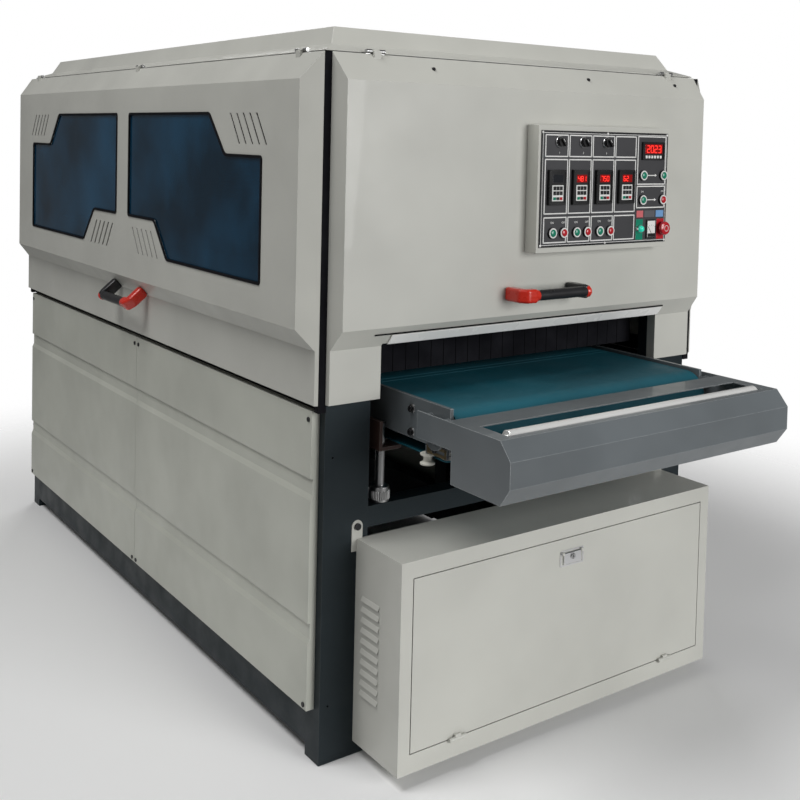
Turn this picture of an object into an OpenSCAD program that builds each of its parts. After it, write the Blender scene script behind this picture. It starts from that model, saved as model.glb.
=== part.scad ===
// Curved surface sanding machine: through-feed conveyor, six brush rollers, lift-up doors.
// Millimetres, Z up. The infeed faces -Y, the origin is the middle of the whole footprint.

/* [Casing] */
// Width over the side doors
casing_w = 1666; // [1640:2:1800]
// Length over the front door and the rear cover
casing_len = 2740; // [2700:10:3000]
// Height of the upper edge of the doors
door_top_z = 2005; // [1985:1:2060]
// Height of the sloping upper band of the doors
door_crown_h = 77; // [50:1:100]
// Height of the lower edge of the flat faces
flat_bottom_z = 1240; // [1225:1:1270]
// Height of the sloping lower band of the doors
door_chin_h = 60; // [40:1:70]
// Height of the lower edge of the skirts
skirt_bottom_z = 1028; // [1020:1:1036]
// Depth of the pressed form of each door
door_depth = 61; // [50:1:80]
// Sheet thickness of the casing
sheet = 3; // [2:0.5:4]
// Height of the roof above the door tops
roof_h = 78; // [60:1:110]
// Clear width between the legs of the front door
passage_w = 1148; // [1140:1:1160]
// Height of the upper edge of the passage
passage_top_z = 1187; // [1175:1:1195]

/* [Windows] */
// Length of one window
window_w = 1012; // [900:1:1040]
// Height of one window
window_h = 495; // [420:1:540]
// Height of the sill
window_sill_z = 1341; // [1330:1:1380]
// Length of the stepped corners
window_step_w = 350; // [300:1:400]
// Height of the stepped corners
window_step_h = 127; // [100:1:150]
// Thickness of the window panes
pane_t = 4; // [3:0.5:6]
// Slots in each stepped corner
slot_count = 5; // [3:1:6]
// Width of one slot
slot_w = 11; // [8:1:20]

/* [Frame] */
// Width of the corner posts
post_w = 150; // [130:5:155]
// Depth of the corner posts
post_d = 75; // [65:1:85]
// Wall of the frame tubes
tube_wall = 5; // [3:0.5:6]
// Height of the beams under the conveyor
beam_top_z = 715; // [700:1:730]
// Thickness of the plates that close the posts
foot_t = 12; // [8:1:20]

/* [Lower panels] */
// Depth of the folded panels
panel_depth = 25; // [20:1:30]
// Height of the lower edge of the panels
panel_bottom_z = 152; // [120:1:170]
// Height of the upper edge of the panels
panel_top_z = 1005; // [990:1:1012]
// Depth of the pressed bands
band_depth = 7; // [4:1:10]
// Height of the pressed bands
band_h = 62; // [50:1:70]

/* [Conveyor] */
// Width of the feed belt
belt_w = 1000; // [900:5:1004]
// Height of the belt surface above the floor
belt_top_z = 1036; // [1030:1:1042]
// Thickness of the belt
belt_t = 4; // [3:0.5:5]
// Radius of the belt rollers
belt_roller_r = 70; // [60:1:75]
// Reach of the guard nose in front of the casing
nose_reach = 500; // [460:5:560]
// Width over the end plates of the guard
guard_w = 1118; // [1110:1:1130]
// Radius of the bright infeed roller
infeed_r = 19; // [15:1:20]
// Radius of the lift columns
column_r = 14; // [10:1:16]

/* [Sanding head] */
// Brush rollers in the machine
roller_count = 6; // [6:1:6]
// Radius over the brushes
brush_r = 110; // [95:1:120]
// Distance from roller to roller
roller_pitch = 360; // [330:1:380]
// Free height between belt and brushes
work_gap = 25; // [22:1:40]
// Abrasive strips round each roller
strip_count = 18; // [12:1:24]
// Outer radius of the dust spigots
spigot_r = 75; // [60:1:90]

/* [Control box] */
// Width of the control box
box_w = 586; // [570:1:600]
// Height of the control box
box_h = 390; // [380:1:410]
// Depth of the control box
box_d = 50; // [40:1:70]
// Radius of the push buttons
button_r = 11; // [9:0.5:12]
// Travel of the push buttons
button_travel = 4; // [3:0.5:4]

/* [Electrical cabinet] */
// Width of the cabinet
cabinet_w = 1264; // [1200:2:1300]
// Height of the cabinet
cabinet_h = 590; // [560:1:595]
// Depth of the cabinet
cabinet_d = 224; // [200:1:250]
// Height of the cabinet above the floor
cabinet_z = 40; // [30:1:50]
// Louvres in each side of the cabinet
louvre_count = 10; // [6:1:11]

/* [Handles] */
// Length of the bridge handles
handle_len = 286; // [240:1:320]
// Height of the grips above the sheet
handle_h = 88; // [75:1:100]
// Thickness of the grips
grip_t = 33; // [26:1:36]

/* [Hidden] */
$fn = 48;
// Overrun of cuts, and the general small clearance
cut = 1;
clear = 0.3;
// Radial clearance of shafts and pins in their bores
run_fit = 0.05;

half_w = casing_w / 2;
half_len = casing_len / 2;
casing_shift = nose_reach / 2;
flat_top_z = door_top_z - door_crown_h;
skirt_top_z = flat_bottom_z - door_chin_h;
end_chin_in = 47;
side_chin_in = 51;
end_back = half_len - door_depth;
side_back = half_w - door_depth;
end_flat_in = 98;
end_back_in = 85;
side_flat_in = 89;
end_flat_w = casing_w - 2 * end_flat_in;
end_back_w = casing_w - 2 * end_back_in;
side_flat_len = casing_len - 2 * side_flat_in;
side_back_len = 2 * end_back;
rim_d = 33;

seal_w = 25;
seal_lip = 1;
seal_gap = 2;
end_gap = 4;
frame_half_w = side_back - seal_w - seal_gap;
frame_half_len = end_back - end_gap;
rail = 60;
side_rail_w = 60;
base_rail_w = 75;
base_rail_h = 150;
base_rail_z = 35;
mid_post_d = 80;
stub_post_y = 1050;
post_in_x = frame_half_w - post_w;
post_in_y = frame_half_len - post_d;
mid_rail_top_z = panel_top_z;
seat_t = 3;

hinge_r = 6;
hinge_pin_r = 3;
hinge_len = 64;
hinge_in = 3;
hinge_plate_l = 55;
hinge_up = 8;
hinge_tab_w = 20;
hinge_web = 8;
hinge_drop = 18;
end_hinge_in = 228;
side_hinge_in = 190;
end_hinge_x = half_w - end_hinge_in;
side_hinge_y = half_len - side_hinge_in;
hinge_z = door_top_z + hinge_up;

panel_gap = 2;
panel_inset = 34;
screw_inset = 17;
screw_in_z = 25;
screw_low_z = 13;
rear_panel_top_z = 900;
rear_panel_half = half_w - end_flat_in;
screw_r = 3;
screw_head_r = 7;
screw_head_h = 3;
screw_len = 45;
band_slope_h = 16;
band_top_zs = [814, 403];

roof_edge_x = side_back - 14;
roof_edge_y = end_back - 15;
roof_knee_side = 130;
roof_knee_end = 140;
roof_top_side = 157;
roof_top_end = 172;
roof_knee_x = half_w - roof_knee_side;
roof_knee_y = half_len - roof_knee_end;
roof_top_x = half_w - roof_top_side;
roof_top_y = half_len - roof_top_end;
roof_base_z = door_top_z + seat_t;
wall_low_z = roof_base_z + seat_t + clear;
roof_knee_up = 25;
roof_knee_z = roof_base_z + roof_knee_up;
roof_top_z = roof_base_z + roof_h;
gasket_in = 55;
spigot_up = 45;
spigot_down = 50;
spigot_wall = 3;
hatch_half = 80;
hatch_lap = 15;

window_gap = 60;
window_run = 112;
pane_lap = 14;
slot_h = 92;
slot_run = 62;
slot_pitch = 42;

side_plate_in = 506;
side_plate_t = 10;
side_plate_out = side_plate_in + side_plate_t;
side_plate_top_z = 1045;
side_plate_bottom_z = 926;
idler_y = -1528;
drive_y = 1230;
plate_front_y = idler_y - 47;
plate_rear_y = drive_y + 42;
belt_axis_z = belt_top_z - belt_t - clear - belt_roller_r;
belt_in_r = belt_roller_r + clear;
belt_out_r = belt_in_r + belt_t;
bed_t = 8;
bed_end = 45;
brace_h = 50;
brace_w = 60;
brace_y = 1100;
shaft_r = 20;
hub_r = 38;
hub_t = 20;
bolt_head_r = 9;
bolt_head_t = 6;
strip_t = 8;
strip_low = 20;
strip_front_y = plate_front_y + 2;
plate_bolt_y = -1400;
plate_bolt_zs = [943, 1010];
spool_seat_t = 3;
spool_seat_r = 8;

guard_t = 4;
guard_top_z = 1028;
guard_bottom_z = 864;
guard_nose_top_z = 982;
guard_nose_low_z = 913;
guard_nose_y = -half_len - nose_reach;
guard_crown_y = guard_nose_y + 40;
guard_chin_y = guard_nose_y + 35;
guard_sheet_y = -1614;
guard_back_y = -1635;
guard_wing_y = -1482;
guard_wing_z = 954;
infeed_y = guard_nose_y + 84;
infeed_z = 1017;
carrier_low = 14;
infeed_half = 500;
infeed_pin_r = 8;
slot_back_y = infeed_y + 87;
slot_front_y = infeed_y - 22;
spacer_r = 10;
spacer_z = 1008;
spacer_ys = [-1490, -1566];
carrier_w = 25;
carrier_d = 30;

spool_r = 21;
spool_x = belt_w / 2 + spool_r + clear;
spool_y = -1484;
spool_waist_r = 12;
spool_low_z = 874;
spool_h = 30;
spool_rim = 8;
spool_pin_r = 6;

column_x = 536;
column_front_y = frame_half_len - rail / 2;
column_top_z = 945;
nut_r = 29;
nut_h = 45;
foot_plate_z = 869;
foot_plate_t = 10;
foot_plate_in = 484;
foot_plate_out = 560;
foot_plate_d = 62;
bracket_front_z = 955;
yoke_z = 835;
yoke_h = 40;
yoke_d = 80;
screw_jack_r = 20;
screw_jack_low_z = 500;
jack_w = 140;
jack_d = 110;
jack_h = 104;
jack_motor_r = 50;
jack_motor_l = 200;
screw_hole_r = 25;

gearbox_w = 74;
gearbox_d = 90;
gearbox_h = 100;
feed_motor_r = 37;
feed_motor_h = 168;

brush_axis_z = belt_top_z + work_gap + brush_r;
core_r = 62;
strip_w = 14;
head_plate_room = 238;
head_plate_t = 12;
head_plate_out = half_w - head_plate_room;
head_plate_in = head_plate_out - head_plate_t;
brush_gap = 83;
brush_half = head_plate_in - brush_gap;
head_plate_low_z = 1090;
head_plate_half = 1090;
head_beam = 80;
head_beam_top_z = 1370;
bearing_r = 45;
bearing_l = 35;
motor_flange = 170;
motor_flange_t = 12;
motor_r = 82;
motor_l = 140;
motor_socket = 45;
roller_ys = [for (i = [0:roller_count - 1]) (i - (roller_count - 1) / 2) * roller_pitch];
hood_ys = [-2 * roller_pitch, 0, 2 * roller_pitch];
hood_gap = 38;
hood_half_x = head_plate_in - hood_gap;
hood_half_y = 345;
hood_low_z = 1200;
hood_knee_z = 1330;
hood_top_z = 1470;
hood_neck = 85;
hood_stub_h = 60;
lug_z = 1320;
lug_w = 200;
hose_wall = 3;
hose_rib_h = 7;
hose_rib_pitch = 18;
hose_cuff = 50;
hose_low_z = hood_top_z + 10;
hose_top_z = roof_top_z - 10;

box_x = 212;
box_z = 1627;
box_wall = 2;
face_w = 568;
face_h = 358;
face_t = 1.5;
face_lip = 6;
face_y = -half_len - box_d - face_t;
column_xs = [5, 106.5, 208];
pad_xs = [-7, 94.5, 196, 297.5];
knob_z = 1771;
pad_z = 1632;
pad_w = 70;
pad_h = 108;
pad_t = 9;
pair_z = 1492;
pair_gap = 47;
side_x = 427;
side_gap = 96;
display_z = 1748;
display_w = 103;
display_h = 59;
display_t = 5;
lift_z = 1668;
feed_z = 1588;
lamp_x = 380;
lamp_z = 1494;
meter_w = 52;
meter_h = 62;
stop_x = 474;
bezel_r = 15;
bezel_h = 6;
button_back = 14;
knob_r = 14;
knob_h = 16;
knob_stem_r = 6;
knob_turn = 35;
pointer_w = 7;
pointer_h = 8;
pointer_in = 1;
mushroom_r = 20;
mushroom_h = 14;
mushroom_stem_r = 9;

cabinet_sheet = 3;
cabinet_door_w = 1180;
cabinet_door_h = 484;
cabinet_door_z = 96;
cabinet_gap = 3;
cabinet_fold = 15;
cabinet_front_y = -frame_half_len - cabinet_d;
cabinet_hinge_out = 6.5;
cabinet_hinge_r = 6;
cabinet_hinge_l = 60;
cabinet_hinge_x = 430;
cabinet_hinge_z = cabinet_door_z - 1;
ear_w = 36;
ear_h = 70;
ear_hole_r = 7;
louvre_l = 78;
louvre_h = 7;
louvre_pitch = 30;
louvre_z = 190;
louvre_y = 106;
lock_w = 86;
lock_h = 40;
lock_t = 4;
lock_z = 500;
lock_ear = 8;
lock_pin_r = 2.5;
plate_in = 30;
plate_margin = 60;

handle_chamfer = 24;
handle_leg = 34;
handle_wide = 44;
handle_red = 66;
handle_cap = 16;
handle_up = 24;
handle_seat = 0.1;
front_handle_x = -158;
front_handle_z = 1308;

casing_grey = [0.80, 0.80, 0.76];
frame_grey = [0.22, 0.26, 0.30];
guard_grey = [0.40, 0.42, 0.44];
steel = [0.75, 0.76, 0.78];
dark = [0.10, 0.10, 0.12];
belt_green = [0.05, 0.33, 0.36];
signal_red = [0.80, 0.12, 0.08];
signal_green = [0.05, 0.50, 0.28];

// Moves a sub-part from the casing's own middle to the middle of the footprint
module placed() {
    translate([0, casing_shift, 0]) children();
}

// Block between two corners
module block(low, high) {
    translate(low) cube(high - low);
}

// Round bar along X, from x0 to x1
module bar_x(r, x0, x1, y, z) {
    translate([x0, y, z]) rotate([0, 90, 0]) cylinder(r = r, h = x1 - x0);
}

// Round bar along Y, from y0 to y1
module bar_y(r, y0, y1, x, z) {
    translate([x, y0, z]) rotate([-90, 0, 0]) cylinder(r = r, h = y1 - y0);
}

// Round bar along Z, from z0 to z1
module bar_z(r, z0, z1, x, y) {
    translate([x, y, z0]) cylinder(r = r, h = z1 - z0);
}

// Rectangular tube between two corners, open along one axis (0, 1 or 2)
module tube(low, high, along) {
    difference() {
        block(low, high);
        block([for (i = [0:2]) i == along ? low[i] - cut : low[i] + tube_wall],
            [for (i = [0:2]) i == along ? high[i] + cut : high[i] - tube_wall]);
    }
}

module both_sides() {
    children();
    mirror([1, 0, 0]) children();
}

module both_ends() {
    children();
    mirror([0, 1, 0]) children();
}

// Children in the frame of one casing face: back plane at y = 0, outside towards -y
module on_front() {
    translate([0, -end_back, 0]) children();
}

module on_rear() {
    rotate([0, 0, 180]) on_front() children();
}

module on_left() {
    translate([-side_back, 0, 0]) rotate([0, 0, -90]) children();
}

module on_right() {
    rotate([0, 0, 180]) on_left() children();
}

// Posts, rails and beams. Each tube is a solid of its own, a weld gap from the next.
module base_frame() {
    color(frame_grey) placed() {
        both_sides() both_ends() {
            difference() {
                tube([post_in_x, post_in_y, foot_t], [frame_half_w, frame_half_len, door_top_z], 2);
                post_bores();
                panel_screw_places() screw_bore();
                rear_screw_places() rear_screw_bore();
            }
            block([post_in_x, post_in_y, 0], [frame_half_w, frame_half_len, foot_t - clear]);
            tube([frame_half_w - base_rail_w, mid_post_d / 2 + clear, base_rail_z],
                [frame_half_w, post_in_y - clear, base_rail_z + base_rail_h], 1);
            tube([frame_half_w - side_rail_w, mid_post_d / 2 + clear, mid_rail_top_z - rail],
                [frame_half_w, post_in_y - clear, mid_rail_top_z], 1);
        }
        both_sides() {
            difference() {
                tube([frame_half_w - side_rail_w, -mid_post_d / 2, base_rail_z],
                    [frame_half_w, mid_post_d / 2, mid_rail_top_z], 2);
                panel_screw_places() screw_bore();
                both_ends() panel_screw_places() screw_bore();
            }
            tube([frame_half_w - side_rail_w, -post_in_y + clear, door_top_z - rail],
                [frame_half_w, post_in_y - clear, door_top_z], 1);
            tube([frame_half_w - side_rail_w, stub_post_y - rail / 2, base_rail_z + base_rail_h + clear],
                [frame_half_w, stub_post_y + rail / 2, mid_rail_top_z - rail - clear], 2);
        }
        both_ends() {
            tube([-post_in_x + clear, post_in_y, door_top_z - rail],
                [post_in_x - clear, frame_half_len, door_top_z], 0);
            tube([-post_in_x + clear, frame_half_len - rail, base_rail_z],
                [post_in_x - clear, frame_half_len, base_rail_z + rail], 0);
        }
        tube([-post_in_x + clear, -frame_half_len, beam_top_z - rail],
            [post_in_x - clear, -frame_half_len + rail, beam_top_z], 0);
        tube([-frame_half_w + side_rail_w + clear, stub_post_y - rail / 2, beam_top_z - rail],
            [frame_half_w - side_rail_w - clear, stub_post_y + rail / 2, beam_top_z], 0);
        difference() {
            tube([-frame_half_w + side_rail_w + clear, -mid_post_d / 2, beam_top_z - rail],
                [frame_half_w - side_rail_w - clear, mid_post_d / 2, beam_top_z], 0);
            bar_z(screw_hole_r, beam_top_z - rail - cut, beam_top_z + cut, 0, 0);
        }
    }
}

// Bores in a corner post for the cabinet bolts
module post_bores() {
    mirror([0, 1, 0])
        bar_y(screw_r + clear, -frame_half_len - cut, -post_in_y + cut,
            cabinet_w / 2, cabinet_z + cabinet_h + ear_h / 2);
}

// Corner places of one folded panel, on the outer face of the right side
module panel_screw_places() {
    low_y = panel_gap / 2 + screw_inset;
    high_y = end_back - panel_inset - screw_inset;
    for (y = [low_y, high_y])
        for (z = [panel_bottom_z + screw_low_z, panel_top_z - screw_in_z])
            translate([frame_half_w + panel_depth, y, z]) children();
}

module screw_bore() {
    bar_x(screw_r + clear, -screw_len - cut, cut, 0, 0);
}

// Outline of a folded panel: depth outwards against height, shrunk by one sheet for the inside
function band_points(top_z, depth, shrink) = [
    [depth, top_z + shrink],
    [depth - band_depth, top_z + shrink],
    [depth - band_depth, top_z - band_h + band_slope_h - shrink],
    [depth, top_z - band_h - shrink]];

function panel_outline(top_z, shrink) = concat(
    [[-shrink, top_z - shrink]],
    [[panel_depth - shrink, top_z - shrink]],
    band_points(band_top_zs[0], panel_depth - shrink, shrink / 2),
    band_points(band_top_zs[1], panel_depth - shrink, shrink / 2),
    [[panel_depth - shrink, panel_bottom_z + shrink]],
    [[-shrink, panel_bottom_z + shrink]]);

// One folded panel on the plane x = 0, between y0 and y1
module folded_panel(y0, y1, top_z) {
    difference() {
        translate([0, y1, 0]) rotate([90, 0, 0])
            linear_extrude(y1 - y0) polygon(panel_outline(top_z, 0));
        translate([0, y1 - sheet, 0]) rotate([90, 0, 0])
            linear_extrude(y1 - y0 - 2 * sheet) polygon(panel_outline(top_z, sheet));
    }
}

module side_panels() {
    both_ends() difference() {
        translate([frame_half_w, 0, 0])
            folded_panel(panel_gap / 2, end_back - panel_inset, panel_top_z);
        panel_screw_places() screw_bore();
    }
}

// Corner places of the rear panel, on its outer face
module rear_screw_places() {
    for (z = [panel_bottom_z + screw_low_z, rear_panel_top_z - screw_in_z])
        translate([rear_panel_half - screw_inset, frame_half_len + panel_depth, z]) children();
}

module rear_screw_bore() {
    bar_y(screw_r + clear, -screw_len - cut, cut, 0, 0);
}

// Folded panels on both sides and below the outfeed
module lower_panels() {
    color(casing_grey) placed() {
        side_panels();
        mirror([1, 0, 0]) side_panels();
        difference() {
            translate([0, frame_half_len, 0]) rotate([0, 0, 90])
                folded_panel(-rear_panel_half, rear_panel_half, rear_panel_top_z);
            both_sides() rear_screw_places() rear_screw_bore();
        }
    }
}

module panel_screws() {
    color(dark) placed() {
        both_sides() both_ends() panel_screw_places() {
            bar_x(screw_r, -screw_len, 0, 0, 0);
            bar_x(screw_head_r, 0, screw_head_h, 0, 0);
        }
        both_sides() rear_screw_places() {
            bar_y(screw_r, -screw_len, 0, 0, 0);
            bar_y(screw_head_r, 0, screw_head_h, 0, 0);
        }
        both_sides() translate([cabinet_w / 2, -frame_half_len, cabinet_z + cabinet_h + ear_h / 2]) {
            bar_y(screw_r, -cabinet_sheet - clear, post_d / 2, 0, 0);
            bar_y(screw_head_r + screw_r, -cabinet_sheet - screw_head_h * 2, -cabinet_sheet, 0, 0);
        }
    }
}

// Roof outline across the machine: half width against height, drawn in by an inset
function roof_outline(edge, knee, top, inset) = [
    [-edge + inset, wall_low_z], [-knee + inset, roof_knee_z], [-top + inset, roof_top_z],
    [top - inset, roof_top_z], [knee - inset, roof_knee_z], [edge - inset, wall_low_z]];

// Section of one sloping roof wall
function roof_wall(edge, knee, top) = [
    [edge, wall_low_z], [knee, roof_knee_z], [top, roof_top_z], [top - sheet, roof_top_z],
    [knee - 2 * sheet, roof_knee_z], [edge - 3 * sheet, wall_low_z]];

// Flat deck, laid in sheets that leave a hatch open at each spigot
module roof_deck() {
    in_x = roof_top_x - sheet - clear;
    in_y = roof_top_y - sheet - clear;
    joints = concat([-in_y], [for (y = hood_ys) for (s = [-1, 1]) y + s * hatch_half], [in_y]);
    for (i = [0:2:len(joints) - 1])
        block([-in_x, joints[i], roof_top_z - sheet], [in_x, joints[i + 1], roof_top_z]);
    both_sides() for (y = hood_ys)
        block([hatch_half, y - hatch_half + clear, roof_top_z - sheet],
            [in_x, y + hatch_half - clear, roof_top_z]);
}

// Roof of separate sheets: flange bars, sloping walls and deck
module top_cover() {
    flange_w = gasket_in + seal_w / 2;
    color(casing_grey) placed() {
        both_sides() block([roof_edge_x - flange_w, -roof_edge_y, roof_base_z],
            [roof_edge_x, roof_edge_y, roof_base_z + seat_t]);
        both_ends() block([-roof_edge_x + flange_w + clear, roof_edge_y - flange_w, roof_base_z],
            [roof_edge_x - flange_w - clear, roof_edge_y, roof_base_z + seat_t]);
        both_sides() intersection() {
            rotate([90, 0, 0]) linear_extrude(2 * roof_edge_y, center = true)
                polygon(roof_wall(roof_edge_x, roof_knee_x, roof_top_x));
            rotate([90, 0, 90]) linear_extrude(2 * roof_edge_x, center = true)
                polygon(roof_outline(roof_edge_y, roof_knee_y, roof_top_y, 0));
        }
        both_ends() intersection() {
            rotate([90, 0, 90]) linear_extrude(2 * roof_edge_x, center = true)
                polygon(roof_wall(roof_edge_y, roof_knee_y, roof_top_y));
            rotate([90, 0, 0]) linear_extrude(2 * roof_edge_y, center = true)
                polygon(roof_outline(roof_edge_x, roof_knee_x, roof_top_x, 3 * sheet + clear));
        }
        roof_deck();
    }
}

// Square plate with a short pipe through it; z is the underside of the plate
module collar(half, z, down, up) {
    difference() {
        union() {
            block([-half, -half, z], [half, half, z + sheet]);
            bar_z(spigot_r, z - down, z + up, 0, 0);
        }
        bar_z(spigot_r - spigot_wall, z - down - cut, z + up + cut, 0, 0);
    }
}

// Dust spigots on the roof, and the collars on the hoods below them
module dust_spigots() {
    color(casing_grey) placed() for (y = hood_ys) translate([0, y, 0]) {
        collar(hatch_half + hatch_lap, roof_top_z + clear, spigot_down, spigot_up);
        collar(hood_neck, hood_top_z + clear, 0, hood_stub_h);
    }
}

// Rubber strips beside the corner posts, and the gasket bars under the roof flange
module corner_seals() {
    gasket_x = frame_half_w - side_rail_w;
    gasket_y = post_in_y + seat_t;
    color(dark) placed() {
        both_sides() both_ends()
            block([frame_half_w, end_back - seal_w - seal_lip / 2, panel_top_z + seal_lip],
                [frame_half_w + seal_w, end_back - seal_lip / 2, door_top_z - seal_gap]);
        both_sides() block([gasket_x, -gasket_y - seal_w / 2, door_top_z],
            [gasket_x + seal_w / 2, gasket_y + seal_w / 2, door_top_z + seat_t]);
        both_ends() block([-gasket_x + clear, gasket_y, door_top_z],
            [gasket_x - clear, gasket_y + seal_w / 2, door_top_z + seat_t]);
    }
}

// Section of a pressed door: y outwards is negative, shifted inwards for the inside
function door_section(chin_in, shift, low_z) = [
    [shift, door_top_z], [shift - door_depth, flat_top_z], [shift - door_depth, flat_bottom_z],
    [shift - door_depth + chin_in, skirt_top_z], [shift - door_depth + chin_in, low_z],
    [sheet + cut, low_z], [sheet + cut, door_top_z]];

module door_form(flat_w, back_w, chin_in, shift, low_z) {
    intersection() {
        rotate([90, 0, 90]) linear_extrude(back_w, center = true)
            polygon(door_section(chin_in, shift, low_z));
        translate([0, 0, low_z]) linear_extrude(door_top_z - low_z)
            polygon([[-back_w / 2 + shift, shift], [-flat_w / 2 + shift, -door_depth],
                [flat_w / 2 - shift, -door_depth], [back_w / 2 - shift, shift]]);
    }
}

// Pressed door shell, open at the back
module door_shell(flat_w, back_w, chin_in) {
    difference() {
        door_form(flat_w, back_w, chin_in, 0, skirt_bottom_z);
        door_form(flat_w, back_w, chin_in, sheet, skirt_bottom_z + sheet);
    }
}

// Shell with two legs, used for the front door and the rear cover
module end_shell() {
    leg_y = -door_depth + end_chin_in;
    difference() {
        union() {
            door_shell(end_flat_w, end_back_w, end_chin_in);
            block([-passage_w / 2 - sheet, leg_y + sheet / 2, skirt_bottom_z],
                [passage_w / 2 + sheet, leg_y + sheet / 2 + rim_d, passage_top_z + sheet]);
        }
        block([-passage_w / 2, -door_depth - cut, skirt_bottom_z - cut],
            [passage_w / 2, rim_d, passage_top_z]);
    }
}

// Fixed half of one top hinge, with its pin
module hinge_fixed(x) {
    translate([x, hinge_in, 0]) {
        block([-hinge_len / 2, 2 * hinge_r, door_top_z], [hinge_len / 2, hinge_plate_l, door_top_z + seat_t]);
        both_sides() {
            block([hinge_len / 2 - hinge_tab_w, 0, door_top_z],
                [hinge_len / 2, 2 * hinge_r + cut, door_top_z + seat_t]);
            bar_x(hinge_r, hinge_len / 2 - hinge_tab_w, hinge_len / 2, 0, hinge_z);
        }
        bar_x(hinge_pin_r, -hinge_len / 2, hinge_len / 2, 0, hinge_z);
    }
}

// Moving half of one top hinge, welded to the upper band of a door
module hinge_moving(x) {
    half = hinge_len / 2 - hinge_tab_w - clear;
    translate([x, hinge_in, 0]) difference() {
        union() {
            bar_x(hinge_r, -half, half, 0, hinge_z);
            block([-half, -hinge_r - hinge_web, door_top_z - hinge_drop],
                [half, -hinge_web / 2, hinge_z]);
        }
        bar_x(hinge_pin_r + run_fit, -half - cut, half + cut, 0, hinge_z);
    }
}

module door_hinges() {
    color(dark) placed() {
        on_front() both_sides() hinge_fixed(end_hinge_x);
        on_left() for (x = [-side_hinge_y, 0, side_hinge_y]) hinge_fixed(x);
        on_right() for (x = [-side_hinge_y, 0, side_hinge_y]) hinge_fixed(x);
    }
}

module front_door() {
    color(casing_grey) placed() on_front() {
        end_shell();
        both_sides() hinge_moving(end_hinge_x);
    }
}

// Fixed rear casing, held off the posts by four blocks
module rear_cover() {
    color(casing_grey) placed() on_rear() {
        end_shell();
        both_sides() for (z = [flat_bottom_z + rail, flat_top_z - 2 * rail])
            block([post_in_x + rail / 2, -door_depth + sheet / 2, z],
                [post_in_x + 3 * rail / 2, end_back - frame_half_len, z + rail]);
    }
}

// Window outline with stepped corners, grown by a lap; x runs from the middle of the door
function window_outline(lap) = [
    [window_gap - lap, window_sill_z + window_step_h - lap],
    [window_gap + window_step_w - window_run - lap, window_sill_z + window_step_h - lap],
    [window_gap + window_step_w - lap, window_sill_z - lap],
    [window_gap + window_w + lap, window_sill_z - lap],
    [window_gap + window_w + lap, window_sill_z + window_h - window_step_h + lap],
    [window_gap + window_w - window_step_w + window_run + lap,
        window_sill_z + window_h - window_step_h + lap],
    [window_gap + window_w - window_step_w + lap, window_sill_z + window_h + lap],
    [window_gap - lap, window_sill_z + window_h + lap]];

// One slanted vent slot, its foot at the origin
module vent_slot() {
    polygon([[0, 0], [slot_w, 0], [slot_w + slot_run, slot_h], [slot_run, slot_h]]);
}

// Openings of one window and its two groups of slots
module window_cuts() {
    group_w = (slot_count - 1) * slot_pitch + slot_run + slot_w;
    rotate([90, 0, 0]) linear_extrude(door_depth + cut) {
        polygon(window_outline(0));
        translate([window_gap, window_sill_z - slot_w / 2])
            for (i = [0:slot_count - 1])
                translate([i * slot_pitch + group_w - slot_pitch * slot_count, 0]) mirror([1, 0])
                    translate([-slot_run - slot_w, 0]) vent_slot();
        translate([window_gap + window_w - group_w + slot_run / 2, window_sill_z + window_h - slot_h])
            for (i = [0:slot_count - 1])
                translate([i * slot_pitch, 0]) mirror([1, 0]) translate([-slot_run - slot_w, 0]) vent_slot();
    }
}

module side_door_form() {
    difference() {
        door_shell(side_flat_len, side_back_len, side_chin_in);
        both_sides() window_cuts();
    }
    for (x = [-side_hinge_y, 0, side_hinge_y])
        hinge_moving(x);
}

module left_door() {
    color(casing_grey) placed() on_left() side_door_form();
}

module right_door() {
    color(casing_grey) placed() on_right() side_door_form();
}

module window_panes() {
    both_sides() translate([0, -door_depth + sheet + pane_t, 0]) rotate([90, 0, 0])
        linear_extrude(pane_t) polygon(window_outline(pane_lap));
}

module left_windows() {
    color([0.15, 0.35, 0.60, 0.5]) placed() on_left() window_panes();
}

module right_windows() {
    color([0.15, 0.35, 0.60, 0.5]) placed() on_right() window_panes();
}

// Bridge handle: x along the grip, z away from the sheet, y across
module handle_form() {
    inner_h = handle_h - grip_t;
    translate([0, handle_wide / 2, 0]) rotate([90, 0, 0]) linear_extrude(handle_wide)
        polygon([[0, 0], [0, handle_h - handle_chamfer], [handle_chamfer, handle_h],
            [handle_len - handle_chamfer, handle_h], [handle_len, handle_h - handle_chamfer],
            [handle_len, 0], [handle_len - handle_leg, 0], [handle_len - handle_leg, inner_h],
            [handle_leg, inner_h], [handle_leg, 0]]);
}

// Black part of the handle: the far leg and the grip
module handle_grip() {
    intersection() {
        handle_form();
        block([handle_red, -handle_wide, 0], [handle_len - handle_cap, handle_wide, handle_h]);
    }
}

// Coloured ends: the near leg with its sleeve, and the cap on the far leg
module handle_ends() {
    intersection() {
        handle_form();
        union() {
            block([0, -handle_wide, 0], [handle_red, handle_wide, handle_h]);
            block([handle_len - handle_cap, -handle_wide, 0], [handle_len, handle_wide, handle_h]);
        }
    }
}

module on_front_sheet() {
    translate([front_handle_x, -half_len, front_handle_z]) rotate([90, 0, 0]) children();
}

// Square to the sloping lower band of the left door, in the door's frame
module on_chin() {
    tilt = atan2(side_chin_in, door_chin_h);
    translate([0, -door_depth + side_chin_in - handle_up * sin(tilt), skirt_top_z + handle_up * cos(tilt)])
        rotate([90 + tilt, 0, 0]) translate([-handle_len / 2, 0, handle_seat]) children();
}

module front_handle() {
    color(dark) placed() on_front_sheet() handle_grip();
}

module front_handle_ends() {
    color(signal_red) placed() on_front_sheet() handle_ends();
}

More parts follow.
